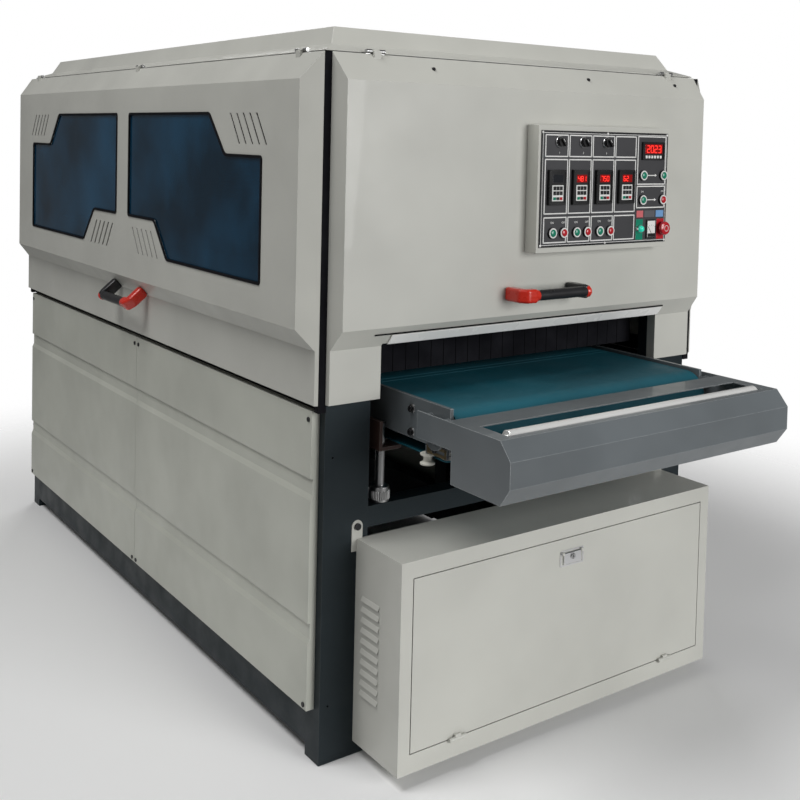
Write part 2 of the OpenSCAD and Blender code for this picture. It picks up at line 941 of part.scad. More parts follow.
module left_handle() {
    color(dark) placed() on_left() mirror([1, 0, 0]) on_chin() handle_grip();
}

module left_handle_ends() {
    color(signal_red) placed() on_left() mirror([1, 0, 0]) on_chin() handle_ends();
}

module right_handle() {
    color(dark) placed() on_right() on_chin() handle_grip();
}

module right_handle_ends() {
    color(signal_red) placed() on_right() on_chin() handle_ends();
}

// Box on the front door, open at the back, with a window for the face plate
module control_box() {
    color(casing_grey) placed() difference() {
        block([box_x - box_w / 2, -half_len - box_d, box_z - box_h / 2],
            [box_x + box_w / 2, -half_len, box_z + box_h / 2]);
        block([box_x - box_w / 2 + box_wall, -half_len - box_d + box_wall, box_z - box_h / 2 + box_wall],
            [box_x + box_w / 2 - box_wall, -half_len + cut, box_z + box_h / 2 - box_wall]);
        block([box_x - face_w / 2 + face_lip, -half_len - box_d - cut, box_z - face_h / 2 + face_lip],
            [box_x + face_w / 2 - face_lip, -half_len, box_z + face_h / 2 - face_lip]);
    }
}

// Places of all push buttons on the face, as [x, z]
button_places = concat(
    [for (x = column_xs) [x - pair_gap / 2, pair_z]],
    [for (x = column_xs) [x + pair_gap / 2, pair_z]],
    [for (z = [lift_z, feed_z]) for (s = [-1, 1]) [side_x + s * side_gap / 2, z]]);

module control_face() {
    color(dark) placed() difference() {
        union() {
            block([box_x - face_w / 2, face_y, box_z - face_h / 2],
                [box_x + face_w / 2, face_y + face_t, box_z + face_h / 2]);
            for (p = button_places)
                bar_y(bezel_r, face_y - bezel_h, face_y + face_t, p[0], p[1]);
        }
        for (p = button_places)
            bar_y(button_r + clear, face_y - bezel_h - cut, face_y + face_t + cut, p[0], p[1]);
        for (x = column_xs)
            bar_y(knob_stem_r + run_fit, face_y - cut, face_y + face_t + cut, x, knob_z);
        bar_y(mushroom_stem_r + run_fit, face_y - cut, face_y + face_t + cut, stop_x, lamp_z);
    }
}

// Keypads, height display, meter and pilot lamp on the face
module panel_displays() {
    color(dark) placed() translate([0, face_y, 0]) {
        for (x = pad_xs)
            block([x - pad_w / 2, -pad_t, pad_z - pad_h / 2], [x + pad_w / 2, 0, pad_z + pad_h / 2]);
        block([side_x - display_w / 2 - display_t, -display_t, display_z - display_h / 2],
            [side_x + display_w / 2 - display_t, 0, display_z + display_h / 2]);
        block([side_x - meter_w / 2, -display_t, pair_z - meter_h / 2],
            [side_x + meter_w / 2 - mushroom_r / 2, 0, pair_z + meter_h / 2]);
        bar_y(button_r, -pad_t, 0, lamp_x - button_r, lamp_z);
    }
}

module push_button(place, paint) {
    color(paint) placed()
        bar_y(button_r, face_y - bezel_h - button_travel, face_y + face_t + button_back, place[0], place[1]);
}

module start_button_1() push_button(button_places[0], signal_green);
module start_button_2() push_button(button_places[1], signal_green);
module start_button_3() push_button(button_places[2], signal_green);
module stop_button_1() push_button(button_places[3], signal_red);
module stop_button_2() push_button(button_places[4], signal_red);
module stop_button_3() push_button(button_places[5], signal_red);
module raise_button() push_button(button_places[6], signal_green);
module lower_button() push_button(button_places[7], signal_green);
module feed_start_button() push_button(button_places[8], signal_green);
module feed_stop_button() push_button(button_places[9], signal_red);

module emergency_stop() {
    color(signal_red) placed() translate([stop_x, face_y, lamp_z]) {
        bar_y(mushroom_r, -bezel_h - button_travel - mushroom_h, -bezel_h - button_travel, 0, 0);
        bar_y(mushroom_stem_r, -bezel_h - button_travel, face_t + button_back, 0, 0);
    }
}

// Rotary selector with a raised pointer
module selector_knob(i) {
    color(dark) placed() translate([column_xs[i], face_y, knob_z]) {
        bar_y(knob_r, -knob_h, -clear, 0, 0);
        rotate([0, -knob_turn, 0]) block([-pointer_w / 2, -knob_h - pointer_h, -knob_r + pointer_in],
            [pointer_w / 2, -knob_h, knob_r - pointer_in]);
        bar_y(knob_stem_r, -clear, face_t + button_back, 0, 0);
    }
}

module selector_knob_1() selector_knob(0);
module selector_knob_2() selector_knob(1);
module selector_knob_3() selector_knob(2);

// Fixed and moving knuckles of the cabinet door
module cabinet_hinge_fixed(x) {
    translate([x, cabinet_front_y - cabinet_hinge_out, cabinet_hinge_z]) {
        both_sides() {
            bar_x(cabinet_hinge_r, cabinet_hinge_l / 6 + clear, cabinet_hinge_l / 2, 0, 0);
            block([cabinet_hinge_l / 6 + clear, -cabinet_hinge_r / 2, -cabinet_hinge_r],
                [cabinet_hinge_l / 2, cabinet_hinge_out + cut, -hinge_pin_r]);
        }
        bar_x(hinge_pin_r, -cabinet_hinge_l / 2, cabinet_hinge_l / 2, 0, 0);
    }
}

module cabinet_hinge_moving(x) {
    translate([x, cabinet_front_y - cabinet_hinge_out, cabinet_hinge_z]) difference() {
        union() {
            bar_x(cabinet_hinge_r, -cabinet_hinge_l / 6, cabinet_hinge_l / 6, 0, 0);
            block([-cabinet_hinge_l / 6, -cabinet_hinge_r / 2, hinge_pin_r + cut],
                [cabinet_hinge_l / 6, cabinet_hinge_out + cut, 2 * cabinet_hinge_r]);
        }
        bar_x(hinge_pin_r + run_fit, -cabinet_hinge_l, cabinet_hinge_l, 0, 0);
    }
}

module electrical_cabinet() {
    low = [-cabinet_w / 2, cabinet_front_y, cabinet_z];
    high = [cabinet_w / 2, -frame_half_len, cabinet_z + cabinet_h];
    wall = [cabinet_sheet, cabinet_sheet, cabinet_sheet];
    color(casing_grey) placed() {
        difference() {
            union() {
                block(low, high);
                both_sides() {
                    block([high[0] - ear_w / 2, high[1] - cabinet_sheet, high[2] - ear_w],
                        [high[0] + ear_w / 2, high[1], high[2] + ear_h / 2]);
                    bar_y(ear_w / 2, high[1] - cabinet_sheet, high[1], high[0], high[2] + ear_h / 2);
                }
            }
            block(low + wall, high - wall);
            block([-cabinet_door_w / 2 - cabinet_gap, low[1] - cut, cabinet_door_z - cabinet_gap],
                [cabinet_door_w / 2 + cabinet_gap, low[1] + cabinet_sheet + cut,
                    cabinet_door_z + cabinet_door_h + cabinet_gap]);
            both_sides() {
                bar_y(screw_r + clear, high[1] - cabinet_sheet - cut, high[1] + cut, high[0],
                    high[2] + ear_h / 2);
                for (i = [0:louvre_count - 1])
                    block([high[0] - cabinet_sheet - cut, low[1] + louvre_y, louvre_z + i * louvre_pitch],
                        [high[0] + cut, low[1] + louvre_y + louvre_l, louvre_z + i * louvre_pitch + louvre_h]);
            }
        }
        both_sides() cabinet_hinge_fixed(cabinet_hinge_x);
    }
}

// Folded door, hinged along its lower edge
module cabinet_door() {
    low = [-cabinet_door_w / 2, cabinet_front_y, cabinet_door_z];
    high = [cabinet_door_w / 2, cabinet_front_y + cabinet_fold, cabinet_door_z + cabinet_door_h];
    wall = [cabinet_sheet, cabinet_sheet, cabinet_sheet];
    color(casing_grey) placed() {
        difference() {
            block(low, high);
            block(low + wall, high - wall + [0, cabinet_sheet + cut, 0]);
        }
        both_sides() cabinet_hinge_moving(cabinet_hinge_x);
        translate([0, cabinet_front_y, lock_z + lock_h - lock_ear / 2]) both_sides() difference() {
            block([lock_w / 2 - lock_ear, -lock_ear, -lock_ear / 2], [lock_w / 2, cut, lock_ear / 2]);
            bar_x(lock_pin_r + run_fit, lock_w / 2 - lock_ear - cut, lock_w / 2 + cut, -lock_ear / 2, 0);
        }
    }
}

// Paddle that swings out about its upper edge
module cabinet_lock() {
    color(steel) placed() translate([0, cabinet_front_y - lock_ear / 2, lock_z + lock_h - lock_ear / 2]) {
        block([-lock_w / 2 + lock_ear + clear, -lock_t / 2, -lock_h + lock_ear],
            [lock_w / 2 - lock_ear - clear, lock_t / 2, 0]);
        bar_x(lock_pin_r, -lock_w / 2 + clear, lock_w / 2 - clear, 0, 0);
    }
}

// Mounting plate with drives, contactors, breakers, a transformer and terminals
module switchgear() {
    back_y = -frame_half_len - cabinet_sheet - plate_in;
    half = cabinet_w / 2 - plate_margin;
    low_z = cabinet_z + plate_margin;
    high_z = cabinet_z + cabinet_h - plate_margin;
    drive_w = half / 5;
    color(steel) placed() {
        block([-half, back_y - cabinet_sheet, low_z], [half, back_y, high_z]);
        both_sides() for (z = [low_z + plate_in, high_z - plate_in])
            bar_y(bezel_r, back_y, -frame_half_len - cabinet_sheet, half - plate_in, z);
        for (i = [0:3])
            block([-half + plate_in + i * drive_w * 3 / 2, back_y - cabinet_d / 2, high_z - plate_margin * 3],
                [-half + plate_in + i * drive_w * 3 / 2 + drive_w, back_y - cabinet_sheet, high_z - plate_in]);
        for (i = [0:7])
            block([-half + plate_in + i * plate_margin, back_y - plate_margin, low_z + plate_margin * 2],
                [-half + plate_in * 5 / 2 + i * plate_margin, back_y - cabinet_sheet, low_z + plate_margin * 3]);
        block([half / 3, back_y - cabinet_d / 2, low_z + plate_in], [half - plate_in, back_y - cabinet_sheet,
            low_z + plate_margin * 3]);
        block([-half + plate_in, back_y - plate_in, low_z + plate_in / 2],
            [half / 4, back_y - cabinet_sheet, low_z + plate_margin]);
    }
}

// Brush roller: core, abrasive strips and through shaft
module sanding_roller(i) {
    y = roller_ys[i];
    color([0.45, 0.25, 0.15]) placed() {
        bar_x(core_r, -brush_half, brush_half, y, brush_axis_z);
        for (k = [0:strip_count - 1])
            translate([0, y, brush_axis_z]) rotate([k * 360 / strip_count, 0, 0])
                block([-brush_half, -strip_w / 2, core_r / 2], [brush_half, strip_w / 2, brush_r]);
        bar_x(shaft_r, -head_plate_out - bearing_l, head_plate_out + motor_flange_t + motor_socket,
            y, brush_axis_z);
    }
}

module sanding_roller_1() sanding_roller(0);
module sanding_roller_2() sanding_roller(1);
module sanding_roller_3() sanding_roller(2);
module sanding_roller_4() sanding_roller(3);
module sanding_roller_5() sanding_roller(4);
module sanding_roller_6() sanding_roller(5);

// Bearing plates on two long beams between the corner posts
module head_frame() {
    color(frame_grey) placed() difference() {
        union() {
            both_sides() {
                block([head_plate_in, -head_plate_half, head_plate_low_z],
                    [head_plate_out, head_plate_half, head_beam_top_z]);
                tube([head_plate_out, -post_in_y + clear, head_beam_top_z - head_beam],
                    [head_plate_out + head_beam, post_in_y - clear, head_beam_top_z], 1);
            }
            for (y = roller_ys)
                bar_x(bearing_r, -head_plate_out - bearing_l, -head_plate_out, y, brush_axis_z);
        }
        for (y = roller_ys)
            bar_x(shaft_r + run_fit, -head_plate_out - bearing_l - cut, head_plate_out + cut, y, brush_axis_z);
    }
}

// One motor for each roller, flanged to the right bearing plate
module sanding_motors() {
    x0 = head_plate_out;
    color([0.25, 0.35, 0.45]) placed() for (y = roller_ys) difference() {
        union() {
            block([x0, y - motor_flange / 2, brush_axis_z - motor_flange / 2],
                [x0 + motor_flange_t, y + motor_flange / 2, brush_axis_z + motor_flange / 2]);
            bar_x(motor_r, x0 + motor_flange_t, x0 + motor_flange_t + motor_l, y, brush_axis_z);
        }
        bar_x(shaft_r + run_fit, x0 - cut, x0 + motor_flange_t + motor_socket + clear, y, brush_axis_z);
    }
}

// Hood outline: half width against height, drawn in by an inset
function hood_outline(half, inset) = [
    [-half + inset, hood_low_z], [-half + inset, hood_knee_z], [-hood_neck + inset, hood_top_z],
    [hood_neck - inset, hood_top_z], [half - inset, hood_knee_z], [half - inset, hood_low_z]];

// Sections of the upright and the sloping sheet on one side of a hood
function hood_wall(half) = [
    [half - sheet, hood_low_z], [half, hood_low_z], [half, hood_knee_z - clear],
    [half - sheet, hood_knee_z - clear]];
function hood_slope(half) = [
    [half, hood_knee_z], [hood_neck, hood_top_z], [hood_neck - 3 * sheet, hood_top_z],
    [half - 3 * sheet, hood_knee_z]];

// Both sheets on the +x side, cut to the hood's outline along y
module hood_side(half, other, wall_inset, slope_inset) {
    for (part = [[hood_wall(half), wall_inset], [hood_slope(half), slope_inset]])
        intersection() {
            rotate([90, 0, 0]) linear_extrude(2 * other, center = true) polygon(part[0]);
            rotate([90, 0, 90]) linear_extrude(2 * half, center = true)
                polygon(hood_outline(other, part[1]));
        }
}

// Extraction hood over each pair of rollers, hung between the bearing plates
module dust_hoods() {
    color(frame_grey) placed() for (y = hood_ys) translate([0, y, 0]) {
        both_sides() {
            hood_side(hood_half_x, hood_half_y, 0, 0);
            block([hood_half_x + clear, -lug_w / 2, lug_z], [head_plate_in, lug_w / 2, lug_z + 2 * sheet]);
        }
        both_ends() rotate([0, 0, 90])
            hood_side(hood_half_y, hood_half_x, sheet + clear, 3 * sheet + clear);
    }
}

// Wall of a ribbed hose: radius against height
hose_in_r = spigot_r + clear;
hose_out_r = hose_in_r + hose_wall;
hose_ribs = floor((hose_top_z - hose_low_z - 2 * hose_cuff) / hose_rib_pitch);
hose_rib_points = [for (i = [0:hose_ribs - 1]) for (p = [[0, 0], [hose_rib_h, 1 / 4], [hose_rib_h, 1 / 2],
    [0, 3 / 4]]) [hose_out_r + p[0], hose_low_z + hose_cuff + (i + p[1]) * hose_rib_pitch]];

module dust_hoses() {
    color(dark) placed() for (y = hood_ys) translate([0, y, 0]) rotate_extrude()
        polygon(concat([[hose_in_r, hose_low_z], [hose_out_r, hose_low_z]], hose_rib_points,
            [[hose_out_r, hose_top_z], [hose_in_r, hose_top_z]]));
}

// Side plates, slider bed, braces and bearings of the conveyor
module conveyor_frame() {
    color(frame_grey) placed() difference() {
        union() {
            both_sides() {
                block([side_plate_in, plate_front_y, side_plate_bottom_z],
                    [side_plate_out, plate_rear_y, side_plate_top_z]);
                bar_x(hub_r, side_plate_out, side_plate_out + hub_t, idler_y, belt_axis_z);
                block([side_plate_out, strip_front_y, side_plate_bottom_z - strip_low],
                    [side_plate_out + strip_t, guard_wing_y, side_plate_bottom_z + strip_t]);
                for (z = plate_bolt_zs)
                    bar_x(bolt_head_r, side_plate_out, side_plate_out + bolt_head_t, plate_bolt_y, z);
            }
            bar_x(hub_r, -side_plate_out - hub_t, -side_plate_out, drive_y, belt_axis_z);
            block([-side_plate_in, idler_y + bed_end, belt_top_z - belt_t - bed_t],
                [side_plate_in, drive_y - bed_end, belt_top_z - belt_t]);
            for (y = [-brace_y, 0, brace_y])
                block([-side_plate_in, y - brace_w / 2, belt_axis_z - brace_h / 2],
                    [side_plate_in, y + brace_w / 2, belt_axis_z + brace_h / 2]);
            bar_z(spool_pin_r, spool_low_z - spool_seat_t, side_plate_bottom_z, -spool_x, spool_y);
            bar_z(spool_seat_r, spool_low_z - spool_seat_t - clear, spool_low_z - clear,
                -spool_x, spool_y);
        }
        for (y = [idler_y, drive_y])
            bar_x(shaft_r + run_fit, -side_plate_out - hub_t - cut, side_plate_out + hub_t + cut,
                y, belt_axis_z);
    }
}

// Endless belt round both rollers
module belt_loop(r, grow) {
    half = belt_w / 2 + grow;
    bar_x(r, -half, half, idler_y, belt_axis_z);
    bar_x(r, -half, half, drive_y, belt_axis_z);
    block([-half, idler_y, belt_axis_z - r], [half, drive_y, belt_axis_z + r]);
}

module feed_belt() {
    color(belt_green) placed() difference() {
        belt_loop(belt_out_r, 0);
        belt_loop(belt_in_r, cut);
    }
}

module belt_roller(y, right_x) {
    bar_x(belt_roller_r, -belt_w / 2, belt_w / 2, y, belt_axis_z);
    bar_x(shaft_r, -side_plate_out - hub_t + clear, right_x, y, belt_axis_z);
}

module drive_roller() {
    color(steel) placed() belt_roller(drive_y, side_plate_out + gearbox_w / 2);
}

module idler_roller() {
    color(steel) placed() belt_roller(idler_y, side_plate_out + hub_t - clear);
}

// Side outline of the guard: y against height
function guard_outline(shrink) = [
    [guard_sheet_y, guard_top_z - shrink], [guard_crown_y + shrink / 2, guard_top_z - shrink],
    [guard_nose_y + shrink, guard_nose_top_z], [guard_nose_y + shrink, guard_nose_low_z],
    [guard_chin_y + shrink / 2, guard_bottom_z + shrink], [guard_back_y + shrink, guard_bottom_z + shrink]];

module infeed_guard() {
    color(guard_grey) placed() {
        difference() {
            rotate([90, 0, 90]) linear_extrude(guard_w - 2 * guard_t, center = true)
                polygon(concat(guard_outline(0), [[guard_back_y, guard_wing_z], [guard_sheet_y, guard_wing_z]]));
            rotate([90, 0, 90]) linear_extrude(guard_w, center = true)
                polygon(concat(guard_outline(sheet), [[guard_back_y + rail, guard_bottom_z + sheet],
                    [guard_back_y + rail, guard_top_z - sheet]]));
            block([-infeed_half - 2 * strip_t, slot_front_y, guard_top_z - 2 * sheet],
                [infeed_half + 2 * strip_t, slot_back_y, guard_top_z + cut]);
        }
        both_sides() {
            translate([guard_w / 2 - guard_t, 0, 0]) rotate([90, 0, 90]) linear_extrude(guard_t)
                polygon(concat(guard_outline(0), [[guard_back_y, guard_wing_z],
                    [guard_wing_y, guard_wing_z], [guard_wing_y, guard_top_z]]));
            for (y = spacer_ys)
                bar_x(spacer_r, side_plate_out, guard_w / 2 - guard_t, y, spacer_z);
            difference() {
                block([infeed_half + 2 * strip_t, infeed_y - carrier_d / 2, infeed_z - carrier_low],
                    [infeed_half + 2 * strip_t + carrier_w, infeed_y + carrier_d / 2, guard_top_z - sheet]);
                bar_x(infeed_pin_r + run_fit, infeed_half, infeed_half + 2 * strip_t + 2 * carrier_w,
                    infeed_y, infeed_z);
            }
        }
    }
}

module infeed_roller() {
    color(steel) placed() {
        bar_x(infeed_r, -infeed_half, infeed_half, infeed_y, infeed_z);
        bar_x(infeed_pin_r, -infeed_half - 2 * strip_t - carrier_w + clear,
            infeed_half + 2 * strip_t + carrier_w - clear, infeed_y, infeed_z);
    }
}

// Waisted nylon spool that guides the returning belt edge
module guide_spool() {
    color([0.92, 0.92, 0.86]) placed() translate([-spool_x, spool_y, spool_low_z]) rotate_extrude()
        polygon([[spool_pin_r + run_fit, 0], [spool_r, 0], [spool_r, spool_rim / 2],
            [spool_waist_r, spool_rim], [spool_waist_r, spool_h - spool_rim],
            [spool_r, spool_h - spool_rim / 2], [spool_r, spool_h], [spool_pin_r + run_fit, spool_h]]);
}

// Bracket at one lift column, on the right; its flange rises to top_z
module lift_bracket(top_z) {
    low_y = -foot_plate_d / 2;
    difference() {
        block([foot_plate_in, low_y, foot_plate_z], [foot_plate_out, -low_y, foot_plate_z + foot_plate_t]);
        bar_z(column_r + run_fit, foot_plate_z - cut, foot_plate_z + foot_plate_t + cut, column_x, 0);
    }
    block([foot_plate_out - foot_plate_t, low_y, foot_plate_z], [foot_plate_out, -low_y, top_z]);
    block([side_plate_in, low_y, foot_plate_z], [foot_plate_out, low_y + foot_plate_t, side_plate_bottom_z]);
}

// Brackets at the columns, and the cross beam with the jack screw
module lift_yoke() {
    color([0.35, 0.22, 0.18]) placed() {
        both_sides() {
            mirror([0, 1, 0]) translate([0, column_front_y, 0]) lift_bracket(bracket_front_z);
            translate([0, stub_post_y, 0]) lift_bracket(side_plate_bottom_z);
            block([side_plate_in, -yoke_d / 2, yoke_z + yoke_h],
                [side_plate_out, yoke_d / 2, side_plate_bottom_z]);
        }
        block([-side_plate_out, -yoke_d / 2, yoke_z], [side_plate_out, yoke_d / 2, yoke_z + yoke_h]);
        bar_z(screw_jack_r, screw_jack_low_z, yoke_z, 0, 0);
    }
}

// Fixed columns with their base nuts, and the screw jack under the middle beam
module lift_gear() {
    jack_top_z = beam_top_z - rail;
    color(steel) placed() {
        both_sides() for (y = [-column_front_y, stub_post_y]) {
            bar_z(column_r, beam_top_z, column_top_z, column_x, y);
            bar_z(nut_r, beam_top_z, beam_top_z + nut_h, column_x, y);
        }
        difference() {
            union() {
                block([-jack_w / 2, -jack_d / 2, jack_top_z - jack_h], [jack_w / 2, jack_d / 2, jack_top_z]);
                bar_x(jack_motor_r, jack_w / 2, jack_w / 2 + jack_motor_l, 0, jack_top_z - jack_h / 2);
            }
            bar_z(screw_jack_r + run_fit, jack_top_z - jack_h - cut, jack_top_z + cut, 0, 0);
        }
    }
}

// Worm gearbox on the drive shaft with an upright motor
module feed_gearmotor() {
    mid_x = side_plate_out + feed_motor_r + clear;
    color([0.25, 0.35, 0.45]) placed() {
        difference() {
            block([side_plate_out, drive_y - gearbox_d / 2, belt_axis_z - gearbox_h / 2],
                [side_plate_out + gearbox_w, drive_y + gearbox_d / 2, belt_axis_z + gearbox_h / 2]);
            bar_x(shaft_r + run_fit, side_plate_out - cut, side_plate_out + gearbox_w / 2 + clear,
                drive_y, belt_axis_z);
        }
        bar_z(feed_motor_r, belt_axis_z + gearbox_h / 2, belt_axis_z + gearbox_h / 2 + feed_motor_h,
            mid_x, drive_y);
    }
}

base_frame();
lower_panels();
panel_screws();
top_cover();
dust_spigots();
corner_seals();
rear_cover();
door_hinges();
front_door();
left_door();
right_door();
left_windows();
right_windows();
front_handle();
left_handle();
right_handle();
front_handle_ends();
left_handle_ends();
right_handle_ends();
control_box();
control_face();
panel_displays();
start_button_1();
start_button_2();
start_button_3();
stop_button_1();
stop_button_2();
stop_button_3();
raise_button();
lower_button();
feed_start_button();
feed_stop_button();
emergency_stop();
selector_knob_1();
selector_knob_2();
selector_knob_3();
electrical_cabinet();
switchgear();
cabinet_door();
cabinet_lock();
sanding_roller_1();
sanding_roller_2();
sanding_roller_3();
sanding_roller_4();
sanding_roller_5();
sanding_roller_6();
head_frame();
sanding_motors();
dust_hoods();
dust_hoses();
conveyor_frame();
feed_belt();
infeed_guard();
lift_yoke();
lift_gear();
drive_roller();
idler_roller();
infeed_roller();
guide_spool();
feed_gearmotor();
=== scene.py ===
"""Curved surface sanding machine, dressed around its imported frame.

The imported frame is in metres, with +Z up and the infeed towards -Y. The machine's classes hold
millimetres from the casing's middle, which at() turns into the frame's metres.
"""

import logging
import math
from collections.abc import Iterator
from contextlib import contextmanager
from dataclasses import dataclass, field
from enum import Enum

import bpy
from mathutils import Matrix, Vector


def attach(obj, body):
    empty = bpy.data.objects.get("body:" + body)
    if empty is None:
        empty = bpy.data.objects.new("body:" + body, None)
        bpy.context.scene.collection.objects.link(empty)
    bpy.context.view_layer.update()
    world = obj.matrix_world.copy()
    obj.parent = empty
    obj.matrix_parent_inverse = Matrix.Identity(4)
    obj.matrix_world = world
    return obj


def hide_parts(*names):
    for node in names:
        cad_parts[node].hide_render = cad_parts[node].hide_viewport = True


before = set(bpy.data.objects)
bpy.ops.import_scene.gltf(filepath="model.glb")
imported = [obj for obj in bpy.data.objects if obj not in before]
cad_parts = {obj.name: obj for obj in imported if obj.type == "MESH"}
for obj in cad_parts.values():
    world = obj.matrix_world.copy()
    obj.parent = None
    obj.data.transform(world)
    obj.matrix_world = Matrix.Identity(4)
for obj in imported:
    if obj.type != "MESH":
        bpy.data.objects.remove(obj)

log = logging.getLogger("sanding_machine")
Point = tuple[float, float, float]
Span = tuple[float, float]
Colour = tuple[float, float, float]
Piece = bpy.types.Object
Tree = bpy.types.NodeTree
Socket = bpy.types.NodeSocket

MM = 0.001
CASING_SHIFT = 0.25

ACROSS: Point = (1.0, 0.0, 0.0)
TO_FRONT: Point = (0.0, -1.0, 0.0)
UP: Point = (0.0, 0.0, 1.0)

PATCH_SIZE = 0.35
SMEAR_SIZE = 0.09
SMEAR_DETAIL = 5.0
# Reach and turn range of the edge mask, which carries wear and painted edge highlights.
EDGE_REACH = 0.0022
EDGE_TURNS = (0.80, 0.99)
BRUSH_STRETCH = (0.04, 1.0, 1.0)
BUMP_STRENGTH = 0.6

WELD = 0.00001
NODE_WELD = 0.00002
FLAT_TURN = math.radians(1.0)
LATHE_TURN = math.radians(35)
SOFT_TURN = math.radians(50)
CORNER_STEPS = 4
LETTER_RISE = 0.0002


def at(x: float, y: float, z: float) -> Point:
    """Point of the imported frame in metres, from millimetres from the casing's middle."""
    return (x * MM, y * MM + CASING_SHIFT, z * MM)


def add_node(tree: Tree, kind: str, values: dict[str, float | Point],
             feeds: dict[str | int, Socket]) -> bpy.types.Node:
    """Adds one shader node.

    Args:
        tree: Node tree that gets it.
        kind: Blender's name of the kind, without its prefix.
        values: Values of its sockets.
        feeds: Sockets that feed its sockets.

    Returns:
        The node.
    """
    node = tree.nodes.new("ShaderNode" + kind)
    for socket, value in values.items():
        node.inputs[socket].default_value = value
    for socket, source in feeds.items():
        tree.links.new(source, node.inputs[socket])
    return node


class Grain(Enum):
    """Kinds of fine relief on a surface."""

    EVEN = "even"
    BRUSHED = "brushed"
    WEAVE = "weave"


@dataclass(frozen=True)
class Finish:
    """One surface finish: colour, gloss and fine relief.

    Attributes:
        name: Name of the material.
        colour: Main colour, linear.
        roughness: Mean roughness.
        grain_size: Size of one grain in metres.
        relief: Height of the grain in metres.
        metallic: Share of bare metal.
        grain: Kind of fine relief.
        dirt_and_glare: Share by which patches turn darker as dirt; below zero the patches turn
            lighter, a painted reflection.
        edge_wear_and_sheen: Share of the edges that shows the edge colour, partly paint worn off
            and partly a painted highlight along the edges.
        worn_and_lit_edge_colour: Colour of the edges; where it is lighter than the main colour it
            paints a highlight.
        coat: Weight of a clear coat.
        alpha: Opacity.
        glow: Strength of its own light.
        sheen_tint: Colour of the reflections.
    """

    name: str
    colour: Colour
    roughness: float = 0.45
    grain_size: float = 0.0025
    relief: float = 0.00004
    metallic: float = 0.0
    grain: Grain = Grain.EVEN
    dirt_and_glare: float = 0.10
    edge_wear_and_sheen: float = 0.25
    worn_and_lit_edge_colour: Colour = (0.62, 0.62, 0.60)
    coat: float = 0.0
    alpha: float = 1.0
    glow: float = 0.0
    sheen_tint: Colour = (1.0, 1.0, 1.0)

    def material(self) -> bpy.types.Material:
        """Material of this finish, made once.

        Returns:
            The material, from the file's own list if it is there.
        """
        title = self.name + "_finish"
        made = bpy.data.materials.get(title)
        if made:
            return made
        made = bpy.data.materials.new(title)
        made.use_nodes = True
        tree = made.node_tree
        shader = tree.nodes["Principled BSDF"]
        for socket, value in (("Metallic", self.metallic), ("Coat Weight", self.coat),
                              ("Alpha", self.alpha), ("Emission Strength", self.glow),
                              ("Emission Color", (*self.colour, 1.0)),
                              ("Specular Tint", (*self.sheen_tint, 1.0))):
            shader.inputs[socket].default_value = value
        coords = tree.nodes.new("ShaderNodeTexCoord").outputs["Object"]
        for socket, source in (("Base Color", self._colour(tree, coords)),
                               ("Roughness", self._gloss(tree, coords)),
                               ("Normal", self._relief(tree, coords))):
            tree.links.new(source, shader.inputs[socket])
        return made

    def _noise(self, tree: Tree, coords: Socket, size: float, detail: float = 3.0) -> Socket:
        """Noise texture.

        Args:
            tree: Node tree of the material.
            coords: Coordinates.
            size: Rough size of one patch in metres.
            detail: Number of finer layers.

        Returns:
            The noise as a share.
        """
        noise = add_node(tree, "TexNoise", {"Scale": 1.0 / size, "Detail": detail},
                         {"Vector": coords})
        return noise.outputs["Fac"]

    def _range(self, tree: Tree, value: Socket, goal: Span, source: Span = (0.35, 0.7)) -> Socket:
        """Maps a value from one range to another.

        Args:
            tree: Node tree of the material.
            value: The value.
            goal: Start and end of the new range.
            source: Start and end of the old range.

        Returns:
            The mapped value.
        """
        ends = {"From Min": source[0], "From Max": source[1], "To Min": goal[0], "To Max": goal[1]}
        return add_node(tree, "MapRange", ends, {"Value": value}).outputs["Result"]

    def _mix(self, tree: Tree, share: Socket, first: Socket | Colour, second: Colour) -> Socket:
        """Mixes two colours.

        Args:
            tree: Node tree of the material.
            share: Share of the second colour.
            first: First colour.
            second: Second colour.

        Returns:
            The mixed colour.
        """
        node = tree.nodes.new("ShaderNodeMix")
        node.data_type = "RGBA"
        factor, near, far, result = node.inputs[0], node.inputs[6], node.inputs[7], node.outputs[2]
        tree.links.new(share, factor)
        far.default_value = (*second, 1.0)
        if isinstance(first, tuple):
            near.default_value = (*first, 1.0)
        else:
            tree.links.new(first, near)
        return result

    def _edges(self, tree: Tree) -> Socket:
        """Finds the sharp edges.

        Args:
            tree: Node tree of the material.

        Returns:
            Share of the edge colour, partly wear and partly a painted highlight: the finish's own
            on sharp edges, and 0 on flat faces.
        """
        bevel = add_node(tree, "Bevel", {"Radius": EDGE_REACH}, {})
        bevel.samples = 4
        geometry = tree.nodes.new("ShaderNodeNewGeometry")
        dot = add_node(tree, "VectorMath", {}, {0: bevel.outputs["Normal"],
                                                1: geometry.outputs["Normal"]})
        dot.operation = "DOT_PRODUCT"
        return self._range(tree, dot.outputs["Value"], (self.edge_wear_and_sheen, 0.0), EDGE_TURNS)

    def _colour(self, tree: Tree, coords: Socket) -> Socket:
        """Main colour with broad patches (darker as dirt, lighter as painted reflection below
        zero), and the edge colour of wear and painted highlight on the edges.

        Args:
            tree: Node tree of the material.
            coords: Coordinates.

        Returns:
            The colour.
        """
        patches = self._range(tree, self._noise(tree, coords, PATCH_SIZE), (0.0, 1.0))
        # Patches darker as dirt; with a share below zero, as on the windows, they are lighter: a
        # painted reflection.
        patch_colour = tuple(c * (1.0 - self.dirt_and_glare) for c in self.colour)
        colour = self._mix(tree, patches, self.colour, patch_colour)
        if self.edge_wear_and_sheen > 0.0:
